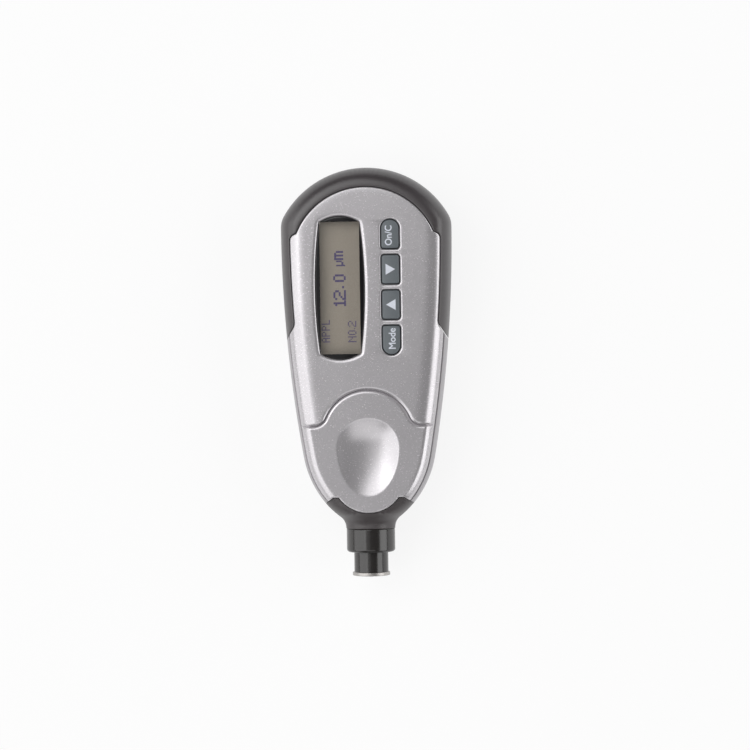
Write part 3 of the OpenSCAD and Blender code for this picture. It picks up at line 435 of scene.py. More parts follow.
def offset(loop, d):
    """A closed loop moved sideways by d, to the left of its direction."""
    ahead = np.roll(loop, -1, axis=0) - loop
    ahead /= np.linalg.norm(ahead, axis=1)[:, None]
    normal = np.column_stack([-ahead[:, 1], ahead[:, 0]])
    normal = normal + np.roll(normal, 1, axis=0)
    normal /= np.linalg.norm(normal, axis=1)[:, None]
    return loop + normal * d


def distance(xy, lines):
    """Distance from points to the nearest of some lines."""
    best = np.full(len(xy), 1e9)
    for points in lines:
        p, q = points[:-1], points[1:]
        d = q - p
        length = np.maximum((d * d).sum(1), 1e-12)
        for start in range(0, len(xy), CHUNK):
            part = slice(start, start + CHUNK)
            ahead = xy[part, None] - p
            t = np.clip((ahead * d).sum(2) / length, 0, 1)
            gap = np.linalg.norm(ahead - t[..., None] * d, axis=2).min(1)
            best[part] = np.minimum(best[part], gap)
    return best


def closed(loop):
    """A loop as a line that comes back to its first point."""
    return np.vstack([loop, loop[:1]])


def inside(xy, loops):
    """True for points inside an odd number of loops."""
    hits = np.zeros(len(xy), int)
    for loop in loops:
        p, q = loop, np.roll(loop, -1, axis=0)
        for start in range(0, len(xy), CHUNK):
            part = slice(start, start + CHUNK)
            x, y = xy[part, :1], xy[part, 1:]
            over = (p[:, 1] > y) != (q[:, 1] > y)
            rise = np.where(q[:, 1] == p[:, 1], 1e-12, q[:, 1] - p[:, 1])
            left = x < p[:, 0] + (y - p[:, 1]) * (q[:, 0] - p[:, 0]) / rise
            hits[part] += (over & left).sum(1)
    return hits % 2 == 1


def drop(e, r, h=None):
    """Fall of a rounded edge of width r and height h at a distance from it."""
    t = np.clip(1 - e / r, 0, 1)
    return (h or r) * (1 - np.sqrt(1 - t * t))


def soft_min(a, b, k):
    """The lower of two heights, blended over k."""
    h = np.clip(0.5 + (b - a) / (2 * k), 0, 1)
    return b + (a - b) * h - k * h * (1 - h)


def triangulate(loops, rows):
    """Plan points and triangles of the region inside the loops, with rows of points kept in line."""
    lines = [closed(loop) for loop in loops] + list(rows)
    points, number = np.unique(np.round(np.vstack(lines), 6) + 0.0, axis=0, return_inverse=True)
    ends = np.cumsum([len(part) for part in lines]) - 1
    pairs = np.column_stack([number[:-1], number[1:]])
    pairs = np.delete(pairs, ends[:-1], axis=0)
    pairs = pairs[pairs[:, 0] != pairs[:, 1]]
    verts, _, faces, *_ = delaunay_2d_cdt([Vector(q) for q in points], pairs.tolist(), [], 0, 1e-5)
    xy = np.array([tuple(v) for v in verts])
    tris = np.array(faces)
    p, q, r = xy[tris[:, 0]], xy[tris[:, 1]], xy[tris[:, 2]]
    area = (q[:, 0] - p[:, 0]) * (r[:, 1] - p[:, 1]) - (q[:, 1] - p[:, 1]) * (r[:, 0] - p[:, 0])
    tris = np.where((area < 0)[:, None], tris[:, ::-1], tris)
    tris = tris[inside((p + q + r) / 3, loops)]
    used = np.unique(tris)
    place = np.zeros(len(xy), int)
    place[used] = np.arange(len(used))
    return xy[used], place[tris]


def rim(tris):
    """Edges that only one triangle has, in its direction."""
    edges = np.concatenate([tris[:, [0, 1]], tris[:, [1, 2]], tris[:, [2, 0]]])
    keys = np.sort(edges, axis=1)
    _, first, count = np.unique(keys, axis=0, return_index=True, return_counts=True)
    return edges[first[count == 1]]


def new_object(name, data):
    """An object in the scene."""
    obj = bpy.data.objects.new(name, data)
    bpy.context.scene.collection.objects.link(obj)
    return obj


def final_mesh(obj):
    """A copy of an object's mesh as it shows, with its modifiers applied."""
    bpy.context.view_layer.update()
    return bpy.data.meshes.new_from_object(obj.evaluated_get(bpy.context.evaluated_depsgraph_get()))


def mesh_object(name, verts, faces, material):
    """A smooth-shaded object from points in millimetres, with sharp edges where faces meet at an angle."""
    mesh = bpy.data.meshes.new(name)
    mesh.from_pydata((np.asarray(verts) * MM).tolist(), [], [list(f) for f in faces])
    bm = bmesh.new()
    bm.from_mesh(mesh)
    bmesh.ops.remove_doubles(bm, verts=bm.verts, dist=1e-7)
    bmesh.ops.dissolve_degenerate(bm, edges=bm.edges, dist=1e-8)
    bmesh.ops.recalc_face_normals(bm, faces=bm.faces)
    bm.to_mesh(mesh)
    bm.free()
    mesh.shade_smooth()
    mesh.set_sharp_from_angle(angle=math.radians(SHARP))
    mesh.materials.append(material)
    return new_object(name, mesh)


def slab(name, loops, rows, top, bottom, material, bore=None):
    """A closed piece over a plan, from a bottom to a top; bore gives both ends of the probe's hole."""
    xy, tris = triangulate(loops, rows)
    n = len(xy)
    verts = np.vstack([np.column_stack([xy, top(xy)]), np.column_stack([xy, bottom(xy)])])
    walls = [(a + n, b + n, b, a) for a, b in rim(tris)]
    faces = [*tris.tolist(), *(tris[:, ::-1] + n).tolist(), *walls]
    obj = mesh_object(name, verts, faces, material)
    if bore:
        cut_bore(obj, *bore)
    weighted = obj.modifiers.new("flat faces stay flat", "WEIGHTED_NORMAL")
    weighted.keep_sharp = True
    return obj


def level(z):
    """A top or a bottom at one height."""
    return lambda xy: np.full(len(xy), z)


def settle(piece, body, slot, *nodes):
    """Puts a piece in its body and hides the solids that it stands for; the slot of its finish is not used.
    """
    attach(piece, body)
    if nodes:
        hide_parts(*nodes)


def lathe(name, profile, material, centre=(0, AXIS_Z), turns=96):
    """A turned piece along Y, from a closed profile of radius and place along Y."""
    profile = np.asarray(profile, float)
    a = np.linspace(0, 2 * math.pi, turns, endpoint=False)
    n = len(profile)
    cx, cz = centre
    ring = [(cx + r * math.cos(t), y, cz + r * math.sin(t)) for t in a for r, y in profile]
    faces = []
    for i in range(turns):
        for k in range(n):
            j, m = (i + 1) % turns, (k + 1) % n
            faces.append((i * n + k, i * n + m, j * n + m, j * n + k))
    return mesh_object(name, ring, faces, material)


def cut_bore(piece, y0, y1):
    """Cuts the hole that the collar's shank sits in."""
    drill = lathe("drill", [(0, y0), (BORE_R, y0), (BORE_R, y1), (0, y1)], piece.data.materials[0])
    piece.modifiers.new("bore", "BOOLEAN").object = drill
    mesh = final_mesh(piece)
    mesh.set_sharp_from_angle(angle=math.radians(SHARP))
    piece.modifiers.clear()
    piece.data = mesh
    bpy.data.objects.remove(drill)


def linear(hex_colour):
    """An sRGB hex value as a linear colour."""
    parts = [int(hex_colour[i : i + 2], 16) / 255 for i in (1, 3, 5)]
    return (*[c / 12.92 if c <= 0.04045 else ((c + 0.055) / 1.055) ** 2.4 for c in parts], 1)


def add(tree, kind, inputs=None, **settings):
    """Adds a node with its settings, and sets or links its inputs."""
    node = tree.nodes.new(kind)
    for name, value in settings.items():
        setattr(node, name, value)
    for name, value in (inputs or {}).items():
        if isinstance(value, bpy.types.NodeSocket):
            tree.links.new(value, node.inputs[name])
        else:
            node.inputs[name].default_value = value
    return node


def bare_material(name):
    """A material without nodes, and its node tree."""
    material = bpy.data.materials.new(name)
    material.use_nodes = True
    material.node_tree.nodes.clear()
    return material, material.node_tree


# The broad unevenness in every finish: its size in grains, its weight beside the grain, the span of both
BROAD_GRAINS = 40
BROAD_WEIGHT = 0.3
LOW_NOISE = 0.4
HIGH_NOISE = 0.9


def surface(name, colour, shade, grain, depth, rough, spread, **sockets):
    """A material whose colour and roughness vary with a fine grain: grain and depth are in millimetres."""
    material, tree = bare_material(name)
    place = add(tree, "ShaderNodeTexCoord").outputs["Object"]
    scale = 1 / (grain * MM)
    fine = add(tree, "ShaderNodeTexNoise", {"Vector": place, "Scale": scale, "Detail": 3.0})
    broad = add(tree, "ShaderNodeTexNoise", {"Vector": place, "Scale": scale / BROAD_GRAINS, "Detail": 2.0})
    both = add(
        tree,
        "ShaderNodeMath",
        {0: broad.outputs["Fac"], 1: BROAD_WEIGHT, 2: fine.outputs["Fac"]},
        operation="MULTIPLY_ADD",
    )
    share = add(
        tree,
        "ShaderNodeMapRange",
        {"Value": both.outputs[0], "From Min": LOW_NOISE, "From Max": HIGH_NOISE},
    )
    tone = add(
        tree,
        "ShaderNodeMix",
        {"Factor": share.outputs[0], 6: linear(shade), 7: linear(colour)},
        data_type="RGBA",
    )
    gloss = add(
        tree,
        "ShaderNodeMapRange",
        {"Value": fine.outputs["Fac"], "To Min": rough - spread, "To Max": rough + spread},
    )
    bump = add(
        tree,
        "ShaderNodeBump",
        {"Height": fine.outputs["Fac"], "Distance": depth * MM, "Strength": 1.0},
    )
    shader = add(
        tree,
        "ShaderNodeBsdfPrincipled",
        {
            "Base Color": tone.outputs[2],
            "Roughness": gloss.outputs[0],
            "Normal": bump.outputs[0],
            **{key.replace("_", " "): value for key, value in sockets.items()},
        },
    )
    add(tree, "ShaderNodeOutputMaterial", {"Surface": shader.outputs[0]})
    return material


# Each finish: colour, its darker shade, grain and depth of grain in millimetres, roughness and its spread.
# Grains under 0.1 mm don't show, so they are drawn coarser, at the sizes given here.

# Silver paint on moulded ABS: fine aluminium flakes give a grainy satin sheen with soft bright edges.
SILVER_PAINT = surface("silver_paint", "#D2CFD2", "#BFBCBF", 0.3, 0.003, 0.26, 0.04, Metallic=0.66)
# The same paint on the rear half and its door, in a darker silver that is painted shade: it darkens the
# flanks below the parting line.
SHADED_REAR_PAINT = surface("silver_paint_rear_painted_shade", "#AFACAF", "#9C999C", 0.3, 0.003, 0.34, 0.04, Metallic=0.5)
# Thermoplastic rubber, moulded with a fine matt grain: dark grey, dull, with a soft broad sheen.
SOFT_RUBBER = surface("soft_rubber", "#3E393B", "#363133", 0.3, 0.004, 0.36, 0.04, IOR=1.75)
# Harder rubber of the nose: a shade lighter and duller, with the same matt grain; the lighter tone is
# painted light, which makes up for the weaker light on the boot.
LIGHTENED_NOSE_RUBBER = surface("nose_rubber_painted_light", "#464142", "#3E393A", 0.3, 0.004, 0.4, 0.05, IOR=1.6)
# Acrylic printed black from behind: deep black under a hard gloss.
BLACK_ACRYLIC = surface("black_acrylic", "#141315", "#100F11", 0.5, 0.0005, 0.08, 0.02, IOR=1.49)
# Silicone rubber keys: blue-grey, smooth and slightly satin.
KEY_SILICONE = surface("key_silicone", "#686E72", "#62676B", 0.25, 0.003, 0.42, 0.04, IOR=1.43)
# Screen print on the keys: matt bluish white, a little uneven.
KEY_PRINT = surface("key_print", "#DDE1EA", "#CCD0DA", 0.2, 0.002, 0.5, 0.05)
# Liquid crystal glass under its polariser: a warm grey, satin and even.
DISPLAY_GLASS = surface("display_glass", "#B2A8A6", "#A99F9C", 0.4, 0.001, 0.3, 0.03, IOR=1.5)
# Driven liquid crystal dots: violet blue.
DISPLAY_DOTS = surface("display_dots", "#5D508F", "#554887", 0.2, 0.001, 0.35, 0.03)
# Acetal bar, turned and polished: black with clear streaks of light.
BLACK_ACETAL = surface("black_acetal", "#262322", "#1F1C1B", 0.4, 0.001, 0.2, 0.03, IOR=1.7)
# Stainless steel, turned: pale, with a soft shine and a fine grain.
TURNED_STEEL = surface("turned_steel", "#BEBBB8", "#AEABA8", 0.12, 0.003, 0.4, 0.05, Metallic=1.0)
# Hard chrome on the pin: an almost clear mirror.
CHROME = surface("hard_chrome", "#DADADC", "#CFCFD2", 0.15, 0.0005, 0.12, 0.02, Metallic=1.0)
# Glass-filled epoxy board under solder mask: an even green with a slight gloss.
BOARD_EPOXY = surface("board_epoxy", "#1D6B45", "#18603D", 0.4, 0.004, 0.4, 0.05)
# Epoxy moulding compound of chips and sounder: charcoal, matt.
CHIP_EPOXY = surface("chip_epoxy", "#2A2A2C", "#232325", 0.3, 0.004, 0.55, 0.05)
# Natural nylon of former, guide and socket: cream, with a waxy sheen.
NYLON = surface("nylon", "#DDD6C0", "#D2CBB5", 0.4, 0.003, 0.45, 0.05)
# Enamelled copper wire, wound close: a warm shine, broken up by the windings.
COPPER_WIRE = surface("copper_wire", "#B4703F", "#9C5C31", 0.15, 0.02, 0.35, 0.06, Metallic=0.9)
# Brass of the ring nut, turned: yellow and bright.
BRASS = surface("brass", "#C9A85C", "#B99A52", 0.2, 0.002, 0.3, 0.05, Metallic=1.0)
# Zinc-plated steel of the screws: bluish silver, slightly cloudy.
ZINC = surface("zinc_plate", "#B9BABD", "#A9AAAE", 0.2, 0.002, 0.32, 0.06, Metallic=1.0)
# Nickel-plated spring steel of contacts and spring: a warm, bright silver.
NICKEL = surface("nickel_plate", "#CBC8BF", "#BDBAB1", 0.2, 0.002, 0.25, 0.05, Metallic=1.0)
# Printed film sleeve of the cells: dark slate under a smooth gloss.
CELL_SLEEVE = surface("cell_sleeve", "#2F3B44", "#29343C", 0.5, 0.002, 0.3, 0.04)
# The same film, printed in a metallic copper tone towards the stud.
CELL_BAND = surface("cell_band", "#B98A54", "#AB7E4B", 0.5, 0.002, 0.3, 0.04, Metallic=0.7)
# Layered carbon rubber strips: a dull mauve, matt.
CARBON_RUBBER = surface("carbon_rubber", "#8F5F7C", "#7F536E", 0.3, 0.006, 0.6, 0.05)
# Acrylic light guide, white from behind: milky, softly glossy.
LIGHT_GUIDE = surface("light_guide", "#E6E9DA", "#DDE0D1", 0.4, 0.002, 0.35, 0.04)
# Polyester sheet of the snap domes: a pale grey film, smooth.
POLYESTER = surface("polyester_sheet", "#CDCED2", "#C2C3C8", 0.3, 0.001, 0.3, 0.04)
# PVC cover of the leads: red, with a soft shine.
RED_PVC = surface("red_pvc", "#B8231F", "#A81E1B", 0.3, 0.003, 0.4, 0.05)


# Share of light that clear acrylic mirrors, seen straight on and along the sheet, and size of its haze
ACRYLIC_MIRROR = 0.04
ACRYLIC_GRAZING = 0.9
ACRYLIC_HAZE = 2.0


def clear_acrylic():
    """Clear acrylic sheet: it shows what lies behind it, with a faint mirror and a slight haze on top."""
    material, tree = bare_material("clear_acrylic")
    place = add(tree, "ShaderNodeTexCoord").outputs["Object"]
    scale = 1 / (ACRYLIC_HAZE * MM)
    haze = add(tree, "ShaderNodeTexNoise", {"Vector": place, "Scale": scale, "Detail": 2.0})
    rough = add(tree, "ShaderNodeMapRange", {"Value": haze.outputs["Fac"], "To Min": 0.03, "To Max": 0.07})
    mirror = add(
        tree,
        "ShaderNodeBsdfPrincipled",
        {"Base Color": (1, 1, 1, 1), "Metallic": 1.0, "Roughness": rough.outputs[0]},
    )
    through = add(tree, "ShaderNodeBsdfTransparent", {"Color": linear("#FAFAF6")})
    facing = add(tree, "ShaderNodeLayerWeight").outputs["Facing"]
    grazing = add(tree, "ShaderNodeMath", {0: facing, 1: 5.0}, operation="POWER")
    share = add(
        tree,
        "ShaderNodeMapRange",
        {"Value": grazing.outputs[0], "To Min": ACRYLIC_MIRROR, "To Max": ACRYLIC_GRAZING},
    )
    shader = add(
        tree,
        "ShaderNodeMixShader",
        {0: share.outputs[0], 1: through.outputs[0], 2: mirror.outputs[0]},
    )
    add(tree, "ShaderNodeOutputMaterial", {"Surface": shader.outputs[0]})
    return material


def step_line(g):
    """Upper edge of the lower panel on the right, moved up by g."""
    r, f, y = STEP_R + g, STEP_FILLET - g, STEP_Y + g
    fy = y + f
    fx = math.sqrt((r + f) ** 2 - (fy - STEP_C) ** 2)
    a = math.degrees(math.atan2(fy - STEP_C, fx))
    bend = arc((fx, fy), f, a + 180, 270, 0.3)
    return join(arc((0, STEP_C), r, 90, a, 0.5), bend, line(bend[-1], (HALF_W, y)))


def step_value(xy):
    """Distance from the lower panel's upper edge, positive above it."""
    x, y = np.abs(xy[:, 0]), xy[:, 1]
    fy = STEP_Y + STEP_FILLET
    fx = math.sqrt((STEP_R + STEP_FILLET) ** 2 - (fy - STEP_C) ** 2)
    a = math.atan2(fy - STEP_C, fx)
    arch = np.hypot(x, y - STEP_C) - STEP_R
    bend = STEP_FILLET - np.hypot(x - fx, y - fy)
    on_arch = np.arctan2(y - STEP_C, x) > a
    return np.where(x > fx, y - STEP_Y, np.where(on_arch, arch, bend))


def face_height(xy):
    """Height of the front face: shoulder, lower panel, and the groove with rounded rims between the two."""
    inset, s = inset_at(xy), step_value(xy)
    upper = HALF_T + edge_height(inset, HALF_T, SHOULDER_W, SHOULDER_P)
    lower = soft_min(upper, PANEL_Z, BLEND)
    past = np.abs(s) - GROOVE_HALF
    t = np.clip(GROOVE_RIM - past, 0, GROOVE_RIM)
    full = np.clip((inset - GROOVE_END) / GROOVE_RIM, 0, 1)
    rims = full * (GROOVE_RIM_R - np.sqrt(GROOVE_RIM_R**2 - t * t))
    z = np.where(s > 0, upper, lower) - rims
    deep = np.clip(-past / GROOVE_HALF, 0, 1)
    return z + (lower - rims - full * GROOVE_DEEP - z) * deep


def thumb_height(xy):
    """Height of the thumb hollow's floor, a surface of revolution about a line along Y."""
    h = ((THUMB_W / 2) ** 2 - THUMB_H**2) / (2 * THUMB_H)
    r = h + THUMB_H
    dy = xy[:, 1] - THUMB_Y
    length = np.where(dy > 0, THUMB_UP, THUMB_DOWN)
    bow = (length**2 + THUMB_H**2) / (2 * THUMB_H)
    across = r - bow + np.sqrt(np.maximum(bow**2 - dy**2, 0))
    return PANEL_Z + h - np.sqrt(np.maximum(across**2 - xy[:, 0] ** 2, 0))


def window_loop(g):
    """The display window's edge, made smaller by g."""
    lo, hi = box_mm("display_window")
    cx, cy = (lo + hi)[:2] / 2
    w, l = (hi - lo)[:2] / 2 + WINDOW_FIT - [WINDOW_NARROW, WINDOW_SHORT] - g
    t = np.linspace(0, 1, 24)
    top = np.column_stack([(w - WINDOW_BULGE) * t, l - WINDOW_CROWN * t * t])
    t = np.linspace(1, -1, 70)
    side = np.column_stack([w - WINDOW_BULGE * t * t, (l - WINDOW_CROWN) * t])
    return mirrored(join(top, side, top[::-1] * [1, -1])) + [cx, cy]


KEY_NODES = ["key_on", "key_right", "key_left", "key_mode"]


def key_loop(i, g):
    """A key's edge, made larger by g: the first key has a round upper end, the last a round lower end."""
    lo, hi = box_mm(KEY_NODES[i])
    cx, cy = (lo + hi)[:2] / 2
    w, l = (hi - lo)[:2] / 2 - KEY_FLANGE + g
    r = KEY_R + max(g, 0)
    r_up, r_down = (w if i == 0 else r), (w if i == 3 else r)
    up = arc((w - r_up, l - r_up), r_up, 90, 0, 0.25)
    down = arc((w - r_down, r_down - l), r_down, 0, -90, 0.25)
    return mirrored(join(up, line(up[-1], down[0], 0.5), down)) + [cx, cy]


def skin_rows(angles):
    """Rows of points along the rounded edge on both sides."""
    rows = [half_outline(edge_inset(a)) for a in angles]
    return rows + [row * [-1, 1] for row in rows]


def edge_rows(loop, r, side):
    """Rows beside a rounded edge of radius r: side is 1 where the material is to the left of the loop."""
    return [closed(offset(loop, side * r * share)) for share in EDGE_SHARES]


# Where the rows of points lie: on the rounded edge, beside the groove and the joint, over hollow and keys
EDGE_ANGLES = [0, 3, 8, 15, 23, 31, 39, 47, 55, 62, 69, 75, 80, 85, 88]
FRONT_ANGLES = [42, 44, 47, 51, 55, 59, 63, 67, 71, 75, 79, 82, 85, 88]
GROOVE_ROWS = np.array([0.1, 0.25, 0.27, 0.38, 0.5, 0.62, 0.75, 0.9, 1.05, 1.2])
JOINT_ROWS = np.linspace(-0.4, 0.4, 9)
THUMB_SHARES = (*np.linspace(0.08, 0.88, 16), 0.92, 0.95, 0.97, 0.985, 1.0, 1.015, 1.03, 1.06)
KEY_ROWS = np.linspace(-2.2, 2.2, 9)


def front_cover():
    """Front half of the case."""
    rim_in = inset_at_height(PART_Z + PART_GAP)
    outer = mirrored(cover_half(0, rim_in))
    holes = [window_loop(0)] + [key_loop(i, KEY_FIT) for i in range(4)]
    edges = [closed(outer)]
    rows = skin_rows(FRONT_ANGLES)
    for inset in np.linspace(EDGE_W, SHOULDER_W, 7):
        rows += [half_outline(inset), half_outline(inset) * [-1, 1]]
    rows += edge_rows(outer, COVER_EDGE_R, -1)
    for i, h in enumerate(holes):
        rows += edge_rows(h, WINDOW_RIM if i == 0 else KEY_RIM, 1)
    for s in (*-GROOVE_ROWS, 0, *GROOVE_ROWS):
        rows += [step_line(s), step_line(s) * [-1, 1]]
    a = np.radians(np.linspace(0, 360, 120, endpoint=False))
    length = np.where(np.sin(a) > 0, THUMB_UP, THUMB_DOWN)
    for share in THUMB_SHARES:
        ring = np.column_stack([THUMB_W / 2 * np.cos(a), length * np.sin(a)]) * share + [0, THUMB_Y]
        rows.append(closed(ring))

    def top(xy):
        z = soft_min(face_height(xy), thumb_height(xy), THUMB_BLEND)
        z -= drop(distance(xy, [closed(holes[0])]), WINDOW_RIM, RIM_DROP)
        z -= drop(distance(xy, [closed(h) for h in holes[1:]]), KEY_RIM, RIM_DROP)
        return z - drop(distance(xy, edges), COVER_EDGE_R)

    def bottom(xy):
        z = np.minimum(INNER_Z, top(xy) - FACE_WALL)
        at_rim = inset_at(xy) < LOW_WALL_T
        return np.where(at_rim, PART_Z + PART_GAP, np.maximum(z, PART_Z - FRONT_LAP))

    piece = slab("front_shell", [outer, *holes], rows, top, bottom, SILVER_PAINT)
    settle(piece, "case", "silver_case", "front_cover")


def top_bumper():
    """Soft horseshoe round the top and the sides."""
    r = BUMPER_EDGE_R
    core = core_half(-BUMPER_FIT)
    core = clip(core, inset_at(core))
    rim_line = half_outline(0)
    rim_line = clip(rim_line, -taper_value(rim_line, -BUMPER_FIT))
    half = join(rim_line, core[::-1])
    loop = join(half, (half * [-1, 1])[::-1])[:-1]
    whole = join(core[::-1], core * [-1, 1])
    rows = skin_rows(EDGE_ANGLES)
    inner = mirrored(np.vstack([core, [[0, core[-1][1] - 5]]]))
    beside = [offset(inner, share * r)[: len(core)] for share in EDGE_SHARES]
    rows += beside + [row * [-1, 1] for row in beside]
    cut_x = DOOR_W / 2 + TONGUE_W + 2 * DOOR_FIT
    cut_z = RAIL_Z + DOOR_FIT
    for x in (cut_x, cut_x + STEP_GAP):
        rows += [line((s * x, TOP_C), (s * x, Y_TOP), 0.5) for s in (-1, 1)]
    half_h = HALF_T - BUMPER_STEP

    def top(xy):
        return HALF_T + edge_height(inset_at(xy), half_h) - drop(distance(xy, [whole]), r)

    def bottom(xy):
        z = HALF_T - edge_height(inset_at(xy), half_h) + drop(distance(xy, [whole]), r)
        at_door = (np.abs(xy[:, 0]) < cut_x + STEP_GAP / 2) & (xy[:, 1] > TOP_C)
        return np.where(at_door, np.maximum(z, cut_z), z)

    piece = slab("bumper", [loop], rows, top, bottom, SOFT_RUBBER)
    settle(piece, "case", "soft_grip", "top_bumper")


def boot_width(y):
    """Half width of the nose boot along the case."""
    low = LOW_X + np.sqrt(np.maximum(LOW_R**2 - (y - LOW_Y) ** 2, 0))
    flare = NECK_R + FLARE_R - np.sqrt(np.maximum(FLARE_R**2 - (y - NECK_Y) ** 2, 0))
    return np.where(y > FLARE_Y, low, np.where(y > NECK_Y, flare, NECK_R))


def nose_boot():
    """Soft cap between the case and the collar."""
    r, fit = BOOT_EDGE_R, BUMPER_FIT
    flank, flare = np.linspace(HORN_Y + 2, FLARE_Y, 40), np.linspace(FLARE_Y, NECK_Y, 16)
    ys = np.concatenate([flank, flare[1:], [Y_NOSE]])
    side = np.column_stack([boot_width(ys), ys])
    side = clip(side, -nose_value(side, fit))
    upper = join(side[:1], horn_line(side[0], fit), chin_line(fit))[::-1]
    half = join(upper, side, line(side[-1], (0, Y_NOSE), 0.4))
    loop = join(half, (half * [-1, 1])[::-1])[:-1]
    lower = line((-NECK_R, Y_NOSE), (NECK_R, Y_NOSE), 0.4)
    edges = [join((upper * [-1, 1])[::-1], upper), lower]
    rows = []
    for share in np.sin(np.radians(EDGE_ANGLES[1:-1])):
        rows += [np.column_stack([s * boot_width(ys) * (1 - (1 - share) ** 2), ys]) for s in (-1, 1)]
    for share in EDGE_SHARES:
        rows += [edges[0] - [0, share * r], lower + [0, share * r]]

    def height(xy):
        y = xy[:, 1]
        w = boot_width(y)
        p = BOOT_P + BOOT_P_RISE * np.clip((y - FLARE_Y) / (HORN_Y - FLARE_Y), 0, 1)
        u = np.clip(np.abs(xy[:, 0]) / w, 0, 1)
        h = np.minimum(HALF_T - BOOT_STEP, w) * (1 - u**p) ** (1 / p)
        return np.maximum(h - drop(distance(xy, edges), r), THIN_EDGE)

    piece = slab(
        "boot",
        [loop],
        rows,
        lambda xy: AXIS_Z + height(xy),
        lambda xy: AXIS_Z - height(xy),
        LIGHTENED_NOSE_RUBBER,
        (Y_NOSE - BORE_SPARE, HORN_Y + BOOT_BORE),
    )
    settle(piece, "case", "soft_grip", "nose_boot")


def back_height(xy):
    """Height of the case's outer back."""
    return HALF_T - edge_height(inset_at(xy), HALF_T)


def step_rows(loop):
    """Two rows close together, between which a wall stands."""
    return [closed(loop), closed(offset(loop, STEP_GAP))]


def within(xy, loop):
    """True for points inside a wall that step_rows made."""
    return inside(xy, [offset(loop, STEP_GAP / 2)])


def rear_cover():
    """Rear half of the case, with its battery bay, rails and screw holes."""
    outer = mirrored(cover_half(0, 0))
    cavity = mirrored(cavity_half())
    box_top = rect(BAY_W / 2 + BAY_WALL, BAY_Y0 - BAY_WALL, BAY_Y1 + BAY_WALL)
    tongue_x = DOOR_W / 2 + TONGUE_W + DOOR_FIT
    rails = rect(tongue_x - DOOR_FIT + RAIL_W, DOOR_Y - DOOR_FIT - RAIL_W, BAY_Y1 + BAY_WALL)
    opening = rect(tongue_x, DOOR_Y - DOOR_FIT, Y_TOP + 1)
    bay = rect(BAY_W / 2, BAY_Y0, BAY_Y1)
    posts = [circle(at, POST_R) for at in POSTS]
    holes = [circle(at, SCREW_HOLE_R) for at in POSTS]
    edges = [closed(outer)]
    rims = [closed(loop) for loop in holes]
    rows = skin_rows(EDGE_ANGLES) + edge_rows(outer, COVER_EDGE_R, -1)
    for height in PART_Z - JOINT_IN + JOINT_ROWS:
        row = half_outline(inset_at_height(height))
        rows += [row, row * [-1, 1]]
    for loop in (cavity, box_top, rails, opening, bay, *posts, *holes):
        rows += step_rows(loop)
    for loop in holes:
        rows += edge_rows(loop, SCREW_EDGE_R, 1)

    def top(xy):
        z = soft_min(HALF_T + edge_height(inset_at(xy), HALF_T), PART_Z - JOINT_IN, BLEND)
        hollow = np.full(len(xy), FLOOR_T)
        hollow[within(xy, rails)] = RAIL_Z + RAIL_T
        hollow[within(xy, box_top)] = BAY_Z + ROOF_T
        for loop in posts:
            hollow[within(xy, loop)] = POST_Z
        return np.where(within(xy, cavity), hollow, z)

    def bottom(xy):
        z = back_height(xy) + drop(distance(xy, edges), COVER_EDGE_R)
        z += drop(distance(xy, rims), SCREW_EDGE_R)
        z = np.where(within(xy, opening), np.maximum(z, RAIL_Z), z)
        z[within(xy, bay)] = BAY_Z
        for loop in holes:
            z[within(xy, loop)] = SCREW_HOLE_Z
        return z

    bore = (Y_NOSE - BORE_SPARE, CAVITY_Y + BORE_SPARE)
    piece = slab("rear_shell", [outer], rows, top, bottom, SHADED_REAR_PAINT, bore)
    settle(piece, "case", "silver_case", "rear_cover")
    rail_lips(tongue_x)


def rail_lips(outer_x):
    """Thin lips of the rear cover that hold the door's tongues."""
    inner_x = DOOR_W / 2 + DOOR_FIT
    lip_z = RAIL_Z - TONGUE_T - 2 * RAIL_FIT
    start_y, end_y = DOOR_Y - DOOR_FIT, math.sqrt(ARCH_R**2 - outer_x**2) + TOP_C
    for name, side in (("rail_lip_left", -1), ("rail_lip_right", 1)):
        x0, x1 = sorted((side * inner_x, side * outer_x))
        loop = join(
            line((x0, end_y), (x1, end_y), 0.3),
            line((x1, end_y), (x1, start_y)),
            line((x1, start_y), (x0, start_y), 0.3),
            line((x0, start_y), (x0, end_y)),
        )[:-1]
        piece = slab(name, [loop], [], level(lip_z), back_height, SHADED_REAR_PAINT)
        settle(piece, "case", "silver_case", "rear_cover")


GRIP_SHARES = np.array([0.3, 0.55, 0.75, 0.9, 1.0, 1.15])


